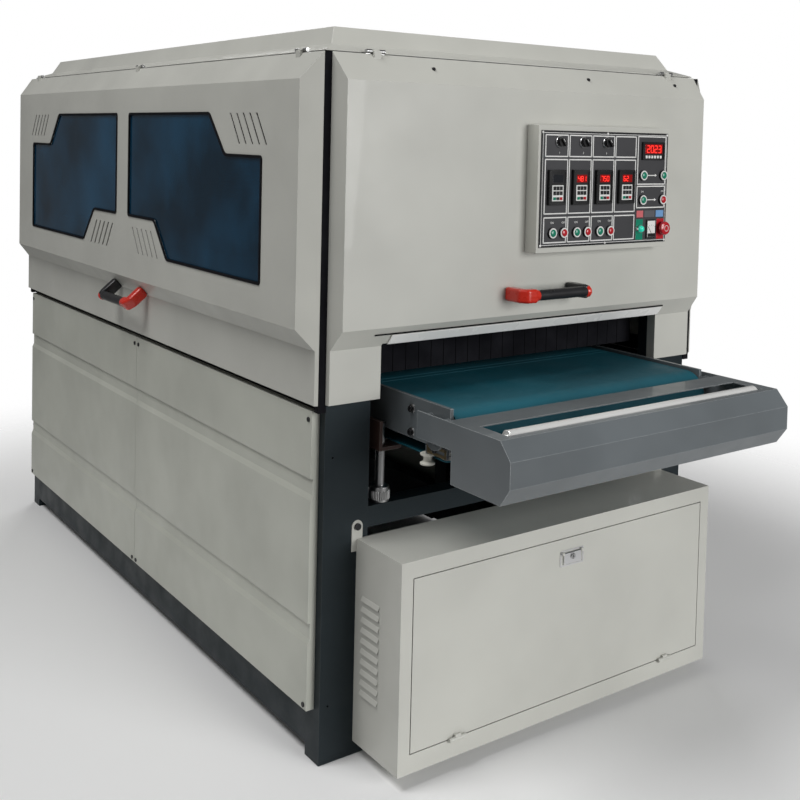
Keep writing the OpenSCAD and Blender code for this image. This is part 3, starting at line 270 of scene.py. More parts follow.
            # Edges take the edge colour: partly wear, and a painted highlight where that colour is
            # lighter.
            colour = self._mix(tree, self._edges(tree), colour, self.worn_and_lit_edge_colour)
        return colour

    def _gloss(self, tree: Tree, coords: Socket) -> Socket:
        """Roughness with smears, from its value less 15% to its value and 20% more."""
        smears = self._noise(tree, coords, SMEAR_SIZE, SMEAR_DETAIL)
        return self._range(tree, smears, (self.roughness * 0.85, min(1.0, self.roughness * 1.2)))

    def _relief(self, tree: Tree, coords: Socket) -> Socket:
        """Fine relief.

        Args:
            tree: Node tree of the material.
            coords: Coordinates.

        Returns:
            The bent normal.
        """
        stretch = add_node(tree, "Mapping", {}, {"Vector": coords})
        if self.grain is Grain.BRUSHED:
            stretch.inputs["Scale"].default_value = BRUSH_STRETCH
        if self.grain is Grain.WEAVE:
            cells = add_node(tree, "TexVoronoi", {"Scale": 1.0 / self.grain_size},
                             {"Vector": stretch.outputs["Vector"]})
            height = cells.outputs["Distance"]
        else:
            height = self._noise(tree, stretch.outputs["Vector"], self.grain_size)
        bump = add_node(tree, "Bump", {"Strength": BUMP_STRENGTH, "Distance": self.relief},
                        {"Height": height})
        return bump.outputs["Normal"]


# Casing and panels: the lighter edge colour of the same paint is a painted highlight along the
# folded edges.
CASING_PAINT = Finish("casing_paint", (0.55, 0.55, 0.505), 0.42, relief=0.00006, edge_wear_and_sheen=0.5,
                      worn_and_lit_edge_colour=(0.72, 0.72, 0.68), coat=0.15)
PANEL_PAINT = Finish("panel_paint", (0.52, 0.53, 0.47), relief=0.00006, edge_wear_and_sheen=0.4,
                     worn_and_lit_edge_colour=(0.70, 0.70, 0.65), dirt_and_glare=0.14)
FRAME_PAINT = Finish("frame_paint", (0.010, 0.015, 0.018), 0.5, worn_and_lit_edge_colour=(0.10, 0.12, 0.13),
                     dirt_and_glare=0.25, sheen_tint=(0.5, 0.58, 0.62))
# Guard: the strong light edge colour draws bright lines along the folds, partly paint worn to metal
# and partly a painted highlight.
GUARD_PAINT = Finish("guard_paint", (0.135, 0.152, 0.162), 0.34, edge_wear_and_sheen=0.9,
                     worn_and_lit_edge_colour=(0.60, 0.62, 0.63), coat=0.3, dirt_and_glare=0.2)
# Head paint: near black, partly the frame's own dark paint and partly painted shade for the inside
# of the casing.
HEAD_PAINT = Finish("head_paint", (0.018, 0.022, 0.027), 0.5, edge_wear_and_sheen=0.3)
MOTOR_PAINT = Finish("motor_paint", (0.045, 0.10, 0.16), edge_wear_and_sheen=0.4, dirt_and_glare=0.25)
YOKE_PAINT = Finish("yoke_primer", (0.075, 0.040, 0.032), 0.6, edge_wear_and_sheen=0.3, dirt_and_glare=0.3)
STEEL = Finish("machined_steel", (0.50, 0.50, 0.50), 0.30, 0.0012, 0.00001, 1.0, Grain.BRUSHED,
               edge_wear_and_sheen=0.3, worn_and_lit_edge_colour=(0.8, 0.8, 0.8))
CHROME = Finish("polished_chrome", (0.82, 0.82, 0.83), 0.07, 0.003, 0.000003, 1.0, Grain.BRUSHED,
                dirt_and_glare=0.06, edge_wear_and_sheen=0.0)
# Infeed roller: pale and only partly metallic, partly the steel's own tone and partly a painted
# highlight of the polished roller.
BRIGHT_STEEL = Finish("bright_roller", (0.90, 0.90, 0.88), 0.22, 0.002, 0.000004, 0.35,
                      Grain.BRUSHED, dirt_and_glare=0.08, edge_wear_and_sheen=0.0, coat=0.5)
# Hem: near white and not metallic, partly the strip's light steel and partly a painted highlight;
# its whiter edges are painted highlight too.
HEM = Finish("hem_steel_and_sheen", (0.90, 0.90, 0.88), 0.28, 0.002, 0.00001, 0.0, Grain.BRUSHED,
             dirt_and_glare=0.08, edge_wear_and_sheen=0.2, worn_and_lit_edge_colour=(0.98, 0.98, 0.98), coat=0.4)
ZINC_YELLOW = Finish("zinc_yellow", (0.22, 0.17, 0.09), 0.38, 0.002, 0.00002, 0.8, Grain.BRUSHED,
                     dirt_and_glare=0.35, edge_wear_and_sheen=0.4, worn_and_lit_edge_colour=(0.5, 0.45, 0.35))
GALVANISED = Finish("galvanised_sheet", (0.36, 0.38, 0.39), 0.42, 0.012, 0.00001, 0.9,
                    Grain.WEAVE, edge_wear_and_sheen=0.2, worn_and_lit_edge_colour=(0.6, 0.6, 0.6), dirt_and_glare=0.25)
BOLT_BLACK = Finish("black_oxide", (0.018, 0.018, 0.020), 0.45, 0.001, 0.00002, 0.6, edge_wear_and_sheen=0.5,
                    worn_and_lit_edge_colour=(0.20, 0.20, 0.21))
SEAL_RUBBER = Finish("seal_rubber", (0.004, 0.004, 0.005), 0.85, 0.0015, 0.00003, edge_wear_and_sheen=0.3,
                     worn_and_lit_edge_colour=(0.03, 0.03, 0.03), sheen_tint=(0.25, 0.25, 0.3))
BELT = Finish("belt_fabric", (0.005, 0.108, 0.150), 0.62, 0.0022, 0.0003, grain=Grain.WEAVE,
              dirt_and_glare=0.3, edge_wear_and_sheen=0.0)
ABRASIVE = Finish("abrasive_strips", (0.16, 0.055, 0.022), 0.85, 0.003, 0.0006, grain=Grain.WEAVE,
                  dirt_and_glare=0.35, edge_wear_and_sheen=0.2, worn_and_lit_edge_colour=(0.35, 0.2, 0.12))
SISAL = Finish("sisal_backing", (0.42, 0.30, 0.16), 0.9, 0.002, 0.0005, grain=Grain.WEAVE,
               dirt_and_glare=0.3, edge_wear_and_sheen=0.0)
HOSE = Finish("hose_vinyl", (0.045, 0.047, 0.052), 0.38, 0.004, 0.00005, edge_wear_and_sheen=0.2,
              worn_and_lit_edge_colour=(0.15, 0.15, 0.16), coat=0.2)
# Handle grip: the grey edge colour on black is partly wear and partly a painted highlight along the
# edges.
HANDLE_BLACK = Finish("handle_black", (0.016, 0.016, 0.018), 0.32, 0.0012, 0.00003, edge_wear_and_sheen=0.4,
                      worn_and_lit_edge_colour=(0.35, 0.35, 0.36))
HANDLE_RED = Finish("handle_red", (0.62, 0.022, 0.008), 0.28, 0.002, 0.00002, edge_wear_and_sheen=0.3,
                    worn_and_lit_edge_colour=(0.85, 0.25, 0.2), coat=0.3)
FACE = Finish("face_enamel", (0.040, 0.040, 0.044), 0.5, 0.0012, 0.00002, 0.2, edge_wear_and_sheen=0.4,
              worn_and_lit_edge_colour=(0.3, 0.3, 0.3))
BLACK_PLASTIC = Finish("black_plastic", (0.008, 0.008, 0.009), 0.30, 0.001, 0.00002, edge_wear_and_sheen=0.3,
                       worn_and_lit_edge_colour=(0.10, 0.10, 0.10))
DEVICE_GREY = Finish("device_grey", (0.30, 0.31, 0.32), 0.45, 0.0015, 0.00002, edge_wear_and_sheen=0.2)
NYLON = Finish("white_nylon", (0.72, 0.71, 0.64), 0.40, 0.0015, 0.00002, edge_wear_and_sheen=0.0)
BUTTON_GREEN = Finish("button_green", (0.004, 0.22, 0.13), 0.22, 0.001, 0.00001, edge_wear_and_sheen=0.2,
                      worn_and_lit_edge_colour=(0.3, 0.6, 0.5), coat=0.4)
BUTTON_RED = Finish("button_red", (0.48, 0.010, 0.018), 0.22, 0.001, 0.00001, edge_wear_and_sheen=0.2,
                    worn_and_lit_edge_colour=(0.8, 0.3, 0.3), coat=0.4)
LINE_WHITE = Finish("line_white", (0.78, 0.78, 0.76), 0.45, 0.001, 0.00001, dirt_and_glare=0.08, edge_wear_and_sheen=0.0)
LABEL_PINK = Finish("label_pink", (0.60, 0.13, 0.14), 0.4, 0.001, 0.00001, edge_wear_and_sheen=0.0)
LABEL_BLUE = Finish("label_blue", (0.16, 0.34, 0.62), 0.4, 0.001, 0.00001, edge_wear_and_sheen=0.0)
LABEL_GREY = Finish("label_grey", (0.10, 0.10, 0.11), 0.4, 0.001, 0.00001, edge_wear_and_sheen=0.0)
DIGIT_RED = Finish("digit_red", (1.0, 0.03, 0.02), 0.3, 0.001, 0.000005, dirt_and_glare=0.05, edge_wear_and_sheen=0.0,
                   glow=1.4)
DISPLAY_RED = Finish("display_red", (0.20, 0.003, 0.003), 0.15, 0.001, 0.000005, edge_wear_and_sheen=0.0,
                     glow=0.35)
SCREEN_DARK = Finish("screen_dark", (0.012, 0.014, 0.018), 0.12, 0.001, 0.000005, edge_wear_and_sheen=0.0,
                     coat=0.5)
LAMP_LENS = Finish("lamp_lens", (0.02, 0.62, 0.42), 0.15, 0.002, 0.00002, edge_wear_and_sheen=0.0, coat=0.6,
                   glow=0.35)
# Window: the negative patch share makes patches up to four times lighter, a painted reflection on
# the glass.
WINDOW = Finish("window_tint", (0.003, 0.018, 0.036), 0.07, 0.35, 0.008, dirt_and_glare=-3.0, edge_wear_and_sheen=0.0,
                alpha=0.86, sheen_tint=(0.35, 0.68, 1.0))


class Bench:
    """Modelling steps that every sub-assembly uses, in millimetres from the casing's middle."""

    @staticmethod
    def clear() -> None:
        """Leaves nothing selected."""
        if bpy.context.object and bpy.context.object.mode != "OBJECT":
            bpy.ops.object.mode_set(mode="OBJECT")
        bpy.ops.object.select_all(action="DESELECT")

    @staticmethod
    def pick(obj: Piece) -> None:
        """Selects one piece and makes it active.

        Args:
            obj: The piece.
        """
        Bench.clear()
        obj.select_set(True)
        bpy.context.view_layer.objects.active = obj

    @staticmethod
    @contextmanager
    def editing(obj: Piece) -> Iterator[None]:
        """Opens a piece for editing with everything selected, and closes it afterwards.

        Args:
            obj: The piece.

        Returns:
            Nothing that the block needs.
        """
        Bench.pick(obj)
        bpy.ops.object.mode_set(mode="EDIT")
        bpy.ops.mesh.select_all(action="SELECT")
        yield
        bpy.ops.object.mode_set(mode="OBJECT")

    @staticmethod
    def face_out() -> None:
        """Turns all faces of the piece that is open outwards."""
        bpy.ops.mesh.select_all(action="SELECT")
        bpy.ops.mesh.normals_make_consistent(inside=False)

    @staticmethod
    def extrude(push: Point) -> None:
        """Pushes out the selected faces of the piece that is open."""
        bpy.ops.mesh.extrude_region_move(
            TRANSFORM_OT_translate={"value": [step * MM for step in push]})

    @staticmethod
    def settle(obj: Piece, name: str) -> Piece:
        """Names a piece and moves its place into its mesh.

        Args:
            obj: The piece.
            name: Its name.

        Returns:
            The same piece.
        """
        Bench.pick(obj)
        bpy.ops.object.transform_apply(location=True, rotation=True, scale=True)
        obj.name = name
        obj.data.name = name
        return obj

    @staticmethod
    def drawn(name: str, points: list[Point], edges: list[tuple[int, int]],
              faces: list[list[int]]) -> Piece:
        """Piece from points, edges and faces.

        Args:
            name: Name of the piece.
            points: Its points in metres.
            edges: Pairs of point numbers.
            faces: Rings of point numbers.

        Returns:
            The piece.
        """
        mesh = bpy.data.meshes.new(name)
        mesh.from_pydata(points, edges, faces)
        obj = bpy.data.objects.new(name, mesh)
        bpy.context.collection.objects.link(obj)
        return obj

    @staticmethod
    def rect(x: Span, y: float, z: Span) -> list[Point]:
        """Corners of an upright rectangle that faces the front, in order."""
        return [(x[0], y, z[0]), (x[1], y, z[0]), (x[1], y, z[1]), (x[0], y, z[1])]

    @staticmethod
    def flat(name: str, outline: list[Point]) -> Piece:
        """Flat face from its corners in order."""
        return Bench.drawn(name, [at(*point) for point in outline], [], [list(range(len(outline)))])

    @staticmethod
    def block(name: str, x: Span, y: Span, z: Span, edge: float = 0.0, steps: int = 2) -> Piece:
        """Block between three pairs of planes.

        Args:
            name: Name of the piece.
            x: Planes of its two sides.
            y: Planes of its front and back, in any order.
            z: Planes of its foot and top.
            edge: Width of the rounded edges, or zero for sharp ones.
            steps: Steps of the rounding.

        Returns:
            The block.
        """
        Bench.clear()
        low, high = at(min(x), min(y), min(z)), at(max(x), max(y), max(z))
        middle = [(a + b) / 2 for a, b in zip(low, high)]
        bpy.ops.mesh.primitive_cube_add(size=1.0, location=middle)
        obj = bpy.context.object
        obj.scale = [b - a for a, b in zip(low, high)]
        Bench.settle(obj, name)
        return Bench.soften(obj, edge, steps) if edge > 0.0 else obj

    @staticmethod
    def rod(name: str, radius: float, start: Point, end: Point, sides: int = 40) -> Piece:
        """Round bar.

        Args:
            name: Name of the piece.
            radius: Its radius.
            start: Middle of one end.
            end: Middle of the other end.
            sides: Number of faces round it.

        Returns:
            The bar.
        """
        Bench.clear()
        first, last = Vector(at(*start)), Vector(at(*end))
        run = last - first
        bpy.ops.mesh.primitive_cylinder_add(vertices=sides, radius=radius * MM, depth=run.length,
                                            location=(first + last) / 2)
        obj = bpy.context.object
        obj.rotation_mode = "QUATERNION"
        obj.rotation_quaternion = run.to_track_quat("Z", "Y")
        return Bench.settle(obj, name)

    @staticmethod
    def turned(name: str, profile: list[Span], place: Point, axis: Point, steps: int = 48) -> Piece:
        """Lathe form: profile of (radius, height) spun round an axis.

        Args:
            name: Name of the piece.
            profile: Points from the lower end to the upper end, radius first.
            place: Point on the axis at height zero.
            axis: Direction of growing height.
            steps: Number of faces round the axis.

        Returns:
            The closed piece.
        """
        points = [(radius * MM, 0.0, height * MM) for radius, height in profile]
        obj = Bench.drawn(name, points, [(i, i + 1) for i in range(len(points) - 1)], [])
        with Bench.editing(obj):
            bpy.ops.mesh.spin(steps=steps, angle=2 * math.pi, center=(0, 0, 0), axis=UP)
            bpy.ops.mesh.select_all(action="SELECT")
            bpy.ops.mesh.remove_doubles(threshold=WELD)
            Bench.face_out()
        turn = Vector(axis).to_track_quat("Z", "Y").to_matrix().to_4x4()
        obj.matrix_world = Matrix.Translation(at(*place)) @ turn
        Bench.settle(obj, name)
        bpy.ops.object.shade_smooth_by_angle(angle=LATHE_TURN)
        return obj

    @staticmethod
    def slab(name: str, outline: list[Point], push: Point) -> Piece:
        """Flat outline pushed out into a slab.

        Args:
            name: Name of the piece.
            outline: Corners of one flat face, in order.
            push: Way from that face to the opposite one.

        Returns:
            The closed slab.
        """
        obj = Bench.flat(name, outline)
        with Bench.editing(obj):
            Bench.extrude(push)
            Bench.face_out()
        return obj

    @staticmethod
    def ring(name: str, outline: list[Point], width: float, push: Point,
             corner: float = 0.0) -> Piece:
        """Flat band along the inside of an outline, pushed out into a rim.

        Args:
            name: Name of the piece.
            outline: Corners of the outer edge, in order.
            width: Width of the band.
            push: Way from the back face to the front face.
            corner: Distance over which each corner is rounded.

        Returns:
            The closed rim.
        """
        obj = Bench.flat(name, outline)
        with Bench.editing(obj):
            if corner > 0.0:
                bpy.ops.mesh.bevel(offset=corner * MM, segments=CORNER_STEPS, affect="VERTICES")
                bpy.ops.mesh.select_all(action="SELECT")
            bpy.ops.mesh.inset(thickness=width * MM)
            bpy.ops.mesh.delete(type="FACE")
            bpy.ops.mesh.select_all(action="SELECT")
            Bench.extrude(push)
            Bench.face_out()
        return obj

    @staticmethod
    def stack(name: str, rings: tuple[Point, ...]) -> Piece:
        """Closed form of rectangles over one another, all centred on the casing.

        Args:
            name: Name of the piece.
            rings: Half length along x, half length along y and height of each, upwards.

        Returns:
            The closed form.
        """
        x, y, z = rings[0]
        obj = Bench.flat(name, [(-x, -y, z), (x, -y, z), (x, y, z), (-x, y, z)])
        with Bench.editing(obj):
            for low, high in zip(rings, rings[1:]):
                Bench.extrude((0.0, 0.0, high[2] - low[2]))
                bpy.ops.transform.resize(value=(high[0] / low[0], high[1] / low[1], 1.0),
                                         center_override=at(0.0, 0.0, high[2]))
            Bench.face_out()
        return obj

    @staticmethod
    def words(text: str, size: float, place: Point) -> Piece:
        """Raised letters in a plane that faces the front.

        Args:
            text: The letters.
            size: Height of a line.
            place: Middle of the word.

        Returns:
            The letters as one piece.
        """
        Bench.clear()
        bpy.ops.object.text_add(location=at(*place), rotation=(math.radians(90), 0, 0))
        letters = bpy.context.object.data
        letters.body = text
        letters.size = size * MM
        letters.align_x = "CENTER"
        letters.align_y = "CENTER"
        letters.extrude = LETTER_RISE
        bpy.ops.object.convert(target="MESH")
        return Bench.settle(bpy.context.object, "word")

    @staticmethod
    def twin(obj: Piece) -> Piece:
        """Copies a piece with its own mesh.

        Args:
            obj: The piece.

        Returns:
            The copy.
        """
        twin = obj.copy()
        twin.data = obj.data.copy()
        bpy.context.collection.objects.link(twin)
        return twin

    @staticmethod
    def merged_copy(name: str, node: str) -> Piece:
        """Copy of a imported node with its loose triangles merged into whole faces.

        Args:
            name: Name of the copy.
            node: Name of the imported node.

        Returns:
            The copy.
        """
        obj = Bench.twin(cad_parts[node])
        obj.parent = None
        obj.matrix_world = Matrix.Identity(4)
        Bench.settle(obj, name)
        with Bench.editing(obj):
            bpy.ops.mesh.remove_doubles(threshold=NODE_WELD)
            bpy.ops.mesh.dissolve_limited(angle_limit=FLAT_TURN)
        return obj

    @staticmethod
    def repeat(obj: Piece, step: Point, count: int) -> list[Piece]:
        """Row of one piece.

        Args:
            obj: The first piece of the row.
            step: Way from one to the next.
            count: Number of pieces.

        Returns:
            All pieces of the row, the first one included.
        """
        row = [obj]
        for i in range(1, count):
            other = Bench.twin(obj)
            other.location = [i * way * MM for way in step]
            row.append(Bench.settle(other, obj.name))
        return row

    @staticmethod
    def spread(obj: Piece, centre: Point, count: int) -> list[Piece]:
        """Ring of one piece round a line across the machine.

        Args:
            obj: The first piece of the ring.
            centre: Point on that line.
            count: Number of pieces.

        Returns:
            All pieces of the ring, the first one included.
        """
        ring = [obj]
        middle = Matrix.Translation(at(*centre))
        for k in range(1, count):
            other = Bench.twin(obj)
            turn = Matrix.Rotation(2 * math.pi * k / count, 4, "X")
            other.matrix_world = middle @ turn @ middle.inverted()
            ring.append(Bench.settle(other, obj.name))
        return ring

    @staticmethod
    def soften(obj: Piece, width: float, steps: int = 2, angle: float = 14.0) -> Piece:
        """Rounds the sharp edges and shades the rest smooth.

        Args:
            obj: The piece.
            width: Width of the rounding.
            steps: Steps of the rounding.
            angle: Least turn of a sharp edge in degrees.

        Returns:
            The same piece.
        """
        Bench.pick(obj)
        bevel = obj.modifiers.new("edge", "BEVEL")
        bevel.width = width * MM
        bevel.segments = steps
        bevel.limit_method = "ANGLE"
        bevel.angle_limit = math.radians(angle)
        bpy.ops.object.modifier_apply(modifier=bevel.name)
        bpy.ops.object.shade_smooth_by_angle(angle=SOFT_TURN)
        weighted = obj.modifiers.new("shade", "WEIGHTED_NORMAL")
        weighted.keep_sharp = True
        weighted.weight = 100
        bpy.ops.object.modifier_apply(modifier=weighted.name)
        return obj

    @staticmethod
    def join(name: str, parts: list[Piece]) -> Piece:
        """Joins parts of one finish.

        Args:
            name: Name of the joined piece.
            parts: Its parts.

        Returns:
            The joined piece.
        """
        Bench.clear()
        for part in parts:
            part.select_set(True)
        bpy.context.view_layer.objects.active = parts[0]
        if len(parts) > 1:
            bpy.ops.object.join()
        obj = bpy.context.object
        obj.name = name
        obj.data.name = name
        return obj

    @staticmethod
    def dress(obj: Piece, finish: Finish, body: str, slot: str | None = None,
              replaces: tuple[str, ...] = ()) -> None:
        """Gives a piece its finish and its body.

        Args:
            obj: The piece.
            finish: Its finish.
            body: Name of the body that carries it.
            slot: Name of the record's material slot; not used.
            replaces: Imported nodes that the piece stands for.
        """
        obj.data.materials.clear()
        obj.data.materials.append(finish.material())
        for polygon in obj.data.polygons:
            polygon.material_index = 0
        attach(obj, body)
        if replaces:
            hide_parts(*replaces)
        log.info("%s: %d faces", obj.name, len(obj.data.polygons))


@dataclass(frozen=True)
class Softened:
    """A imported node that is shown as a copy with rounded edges.

    Attributes:
        body: Body that carries it.
        finish: Its finish.
        slot: Its material slot in the record.
        edge: Width of the rounding.
        steps: Steps of the rounding.
    """

    body: str
    finish: Finish
    slot: str
    edge: float = 1.2
    steps: int = 2


@dataclass
class SoftenedNodes:
    """Sheet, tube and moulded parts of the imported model, with rounded edges."""

    nodes: dict[str, Softened] = field(default_factory=lambda: {
        "front_door": Softened("front_door", CASING_PAINT, "casing_paint"),
        "left_door": Softened("left_door", CASING_PAINT, "casing_paint"),
        "right_door": Softened("right_door", CASING_PAINT, "casing_paint"),
        "rear_cover": Softened("machine", CASING_PAINT, "casing_paint"),
        "lower_panels": Softened("machine", PANEL_PAINT, "panel_paint"),
        "dust_spigots": Softened("machine", CASING_PAINT, "casing_paint"),
        "electrical_cabinet": Softened("machine", CASING_PAINT, "casing_paint"),
        "cabinet_door": Softened("cabinet_door", CASING_PAINT, "casing_paint"),
        "control_box": Softened("front_door", CASING_PAINT, "casing_paint"),
        "infeed_guard": Softened("conveyor", GUARD_PAINT, "guard_paint"),
        "conveyor_frame": Softened("conveyor", GUARD_PAINT, "guard_paint"),
        "base_frame": Softened("machine", FRAME_PAINT, "frame_paint", 4.0),
        "door_hinges": Softened("machine", STEEL, "steel", 0.8),
        "cabinet_lock": Softened("cabinet_lock", CHROME, "chrome", 0.8),
        "head_frame": Softened("machine", HEAD_PAINT, "head_paint", 2.0),
        "dust_hoods": Softened("machine", GALVANISED, "hood"),
        "lift_yoke": Softened("conveyor", YOKE_PAINT, "yoke_paint", 2.0),
        "lift_gear": Softened("machine", STEEL, "steel", 2.0),
        "feed_gearmotor": Softened("conveyor", MOTOR_PAINT, "motor_paint", 3.0, 3),
    })

    def build(self) -> None:
        """Replaces each node by its softened copy."""
        for node, look in self.nodes.items():
            piece = Bench.merged_copy(node + "_soft", node)
            Bench.soften(piece, look.edge, look.steps)
            Bench.dress(piece, look.finish, look.body, look.slot, (node,))


@dataclass
class PlainNodes:
    """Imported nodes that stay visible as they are, each with its finish."""

    finishes: dict[str, Finish] = field(default_factory=lambda: {
        "panel_screws": BOLT_BLACK, "corner_seals": SEAL_RUBBER, "left_windows": WINDOW,
        "right_windows": WINDOW, "feed_belt": BELT, "guide_spool": NYLON,
    })

    def build(self) -> None:
        """Gives each node its finish."""
        for node, finish in self.finishes.items():
            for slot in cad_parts[node].material_slots:
                slot.material = finish.material()


@dataclass
class PanelPart:
    """What all parts of the control panel share.

    Attributes:
        body: Body that carries the panel.
        face_y: Plane of the dark face.
        knob_xs: Middles of the three columns of knobs and buttons.
        side_xs: Middles of the two columns of buttons at the side.
        side_zs: Heights of the two rows of buttons at the side.
        bezel_rise: Height of a bezel over its case.
        segments: Lit bars of each figure, from a at the top round to g in the middle.
        stroke_share: Width of a bar as a share of the figure's width.
        stroke_rise: Thickness of a bar.
    """

    body: str = "front_door"
    face_y: float = -1421.5
    knob_xs: tuple[float, ...] = (5.0, 106.5, 208.0)
    side_xs: Span = (379.0, 475.0)
    side_zs: Span = (1668.0, 1588.0)
    bezel_rise: float = 2.0
    segments: dict[str, str] = field(default_factory=lambda: {
        "0": "abcdef", "1": "bc", "2": "abdeg", "3": "abcdg", "4": "bcfg", "5": "acdfg",
        "6": "acdefg", "7": "abc", "8": "abcdefg"})
    stroke_share: float = 0.20
    stroke_rise: float = 0.3

    def _plate(self, name: str, x: Span, y: Span, z: Span, edge: float = 0.6) -> Piece:
        """Small plate with rounded edges."""
        return Bench.block(name, x, y, z, edge)

    def _figure(self, figure: str, place: Point, size: Span) -> list[Piece]:
        """Seven-segment figure made of pointed bars.

        Args:
            figure: The figure to show.
            place: Its lower left corner.
            size: Its width and height.

        Returns:
            The lit bars.
        """
        left, y, low = place
        half = size[0] * self.stroke_share / 2
        middle, right, high = low + size[1] / 2, left + size[0], low + size[1]
        ends = {"a": (left, high, right, high), "b": (right, middle, right, high),
                "c": (right, low, right, middle), "d": (left, low, right, low),
                "e": (left, low, left, middle), "f": (left, middle, left, high),
                "g": (left, middle, right, middle)}
        bars = []
        for key in self.segments[figure]:
            x0, z0, x1, z1 = ends[key]
            if z0 == z1:
                corners = [(x0 + half, z0 - half), (x1 - half, z0 - half), (x1, z0),
                           (x1 - half, z0 + half), (x0 + half, z0 + half), (x0, z0)]
            else:
                corners = [(x0 + half, z0 + half), (x0 + half, z1 - half), (x0, z1),
                           (x0 - half, z1 - half), (x0 - half, z0 + half), (x0, z0)]
            bars.append(Bench.slab("bar", [(x, y, z) for x, z in corners],
                                   (0.0, -self.stroke_rise, 0.0)))
        return bars

    def _figures(self, name: str, text: str, place: Point, size: Span, pitch: float) -> None:
        """Row of lit figures.

        Args:
            name: Name of the piece.
            text: The figures.
            place: Lower left corner of the first one.
            size: Width and height of one.
            pitch: Distance from one to the next.
        """
        bars = []
        for index, figure in enumerate(text):
            bars += self._figure(figure, (place[0] + index * pitch, place[1], place[2]), size)
        Bench.dress(Bench.join(name, bars), DIGIT_RED, self.body)


@dataclass
class PanelFace(PanelPart):
    """Dark face of the control box with its line frames, screws, labels and plain words."""

    line_w: float = 3.6
    line_rise: float = 0.5
    line_corner: float = 2.0
    line_gap: float = 2.0
    columns: tuple[float, ...] = (-57.0, 43.75, 145.0, 246.75, 347.0)
    rows: tuple[Span, ...] = ((1725.0, 1794.0), (1549.6, 1719.0), (1461.0, 1541.0))
    side: Span = (352.0, 487.0)
    side_rows: tuple[Span, ...] = ((1637.6, 1796.0), (1561.0, 1634.0))
    trim: tuple[Span, Span] = ((-71.5, 495.5), (1448.5, 1805.5))
    trim_w: float = 5.0
    rim: tuple[Span, Span] = ((-65.0, 490.0), (1454.5, 1799.5))
    rim_w: float = 1.6
    screw_xs: tuple[float, ...] = (-66.0, 212.0, 490.0)
    screw_zs: Span = (1454.0, 1800.0)
    label_z: Span = (1531.0, 1553.0)
    plate_z: Span = (1458.0, 1525.0)
    number_z: float = 1738.0
    word_dx: float = 23.5
    word_z: float = 1523.0
    side_word_z: float = 1615.0
    word_rise: float = 0.3
    word_h: float = 9.0
    side_word_h: float = 8.0

    def build(self) -> None:
        """Builds the face, the cases on it and its marks."""
        face = Bench.merged_copy("control_face_plate", "control_face")
        Bench.dress(Bench.soften(face, 0.8), FACE, self.body, "face", ("control_face",))
        cases = Bench.merged_copy("panel_display_cases", "panel_displays")
        Bench.dress(Bench.soften(cases, 1.6, 3), BLACK_PLASTIC, self.body, "display",
                    ("panel_displays",))
        self._frames()
        self._screws()
        self._labels()
        self._words()

    def _frame(self, name: str, x: Span, z: Span, width: float) -> Piece:
        """Rectangular line frame on the face."""
        return Bench.ring(name, Bench.rect(x, self.face_y, z), width, (0.0, -self.line_rise, 0.0),
                          self.line_corner)

    def _frames(self) -> None:
        """White line frames of all cells, and a dark trim with a white rim round the plate."""
        cells = [((left + self.line_gap, right - self.line_gap), row)
                 for left, right in zip(self.columns, self.columns[1:]) for row in self.rows]
        cells += [(self.side, row) for row in self.side_rows]
        frames = [self._frame("line", x, z, self.line_w) for x, z in cells]
        Bench.dress(Bench.join("panel_lines", frames), LINE_WHITE, self.body)
        Bench.dress(self._frame("panel_trim", *self.trim, self.trim_w), BLACK_PLASTIC, self.body)
        Bench.dress(self._frame("panel_rim", *self.rim, self.rim_w), LINE_WHITE, self.body)

    def _screws(self) -> None:
        """White screws at the corners and the middle of the long edges."""
        head = [(0.0, 0.0), (4.0, 0.0), (4.0, 1.2), (3.2, 2.2), (1.6, 2.6), (1.4, 1.6), (0.0, 1.6)]
        screws = [Bench.turned("screw", head, (x, self.face_y, z), TO_FRONT, 20)
                  for x in self.screw_xs for z in self.screw_zs]
        Bench.dress(Bench.join("panel_face_screws", screws), LINE_WHITE, self.body)

    def _labels(self) -> None:
        """Coloured blank plates."""
        thick = (self.face_y - 0.8, self.face_y + 0.2)
        for name, finish, x, z in (("label_pink", LABEL_PINK, (355, 386), self.label_z),
                                   ("label_grey", LABEL_GREY, (392, 441), self.label_z),
                                   ("label_blue", LABEL_BLUE, (447, 483), self.label_z),
                                   ("label_green", BUTTON_GREEN, (353, 386), self.plate_z),
                                   ("label_red", BUTTON_RED, (452, 486), self.plate_z)):
            Bench.dress(self._plate(name, x, thick, z, 0.3), finish, self.body)

    def _words(self) -> None:
        """Plain words, numbers and arrows beside the controls."""
        y = self.face_y - self.word_rise
        words = []
        for index, x in enumerate(self.knob_xs):
            words += [Bench.words(str(index + 1), self.word_h, (x, y, self.number_z)),
                      Bench.words("ON", self.word_h, (x - self.word_dx, y, self.word_z)),
                      Bench.words("OFF", self.word_h, (x + self.word_dx, y, self.word_z))]
        words += [Bench.words(text, self.side_word_h, (x, y, self.side_word_z))
                  for text, x in zip(("ON", "OFF"), self.side_xs)]
        for z in self.side_zs:
            arrow = [(403, z - 1.5), (437, z - 1.5), (437, z - 5), (446, z), (437, z + 5),
                     (437, z + 1.5), (403, z + 1.5)]
            words.append(Bench.slab("arrow", [(a, self.face_y, b) for a, b in arrow],
                                    (0.0, -0.5, 0.0)))
        Bench.dress(Bench.join("panel_words", words), LINE_WHITE, self.body)


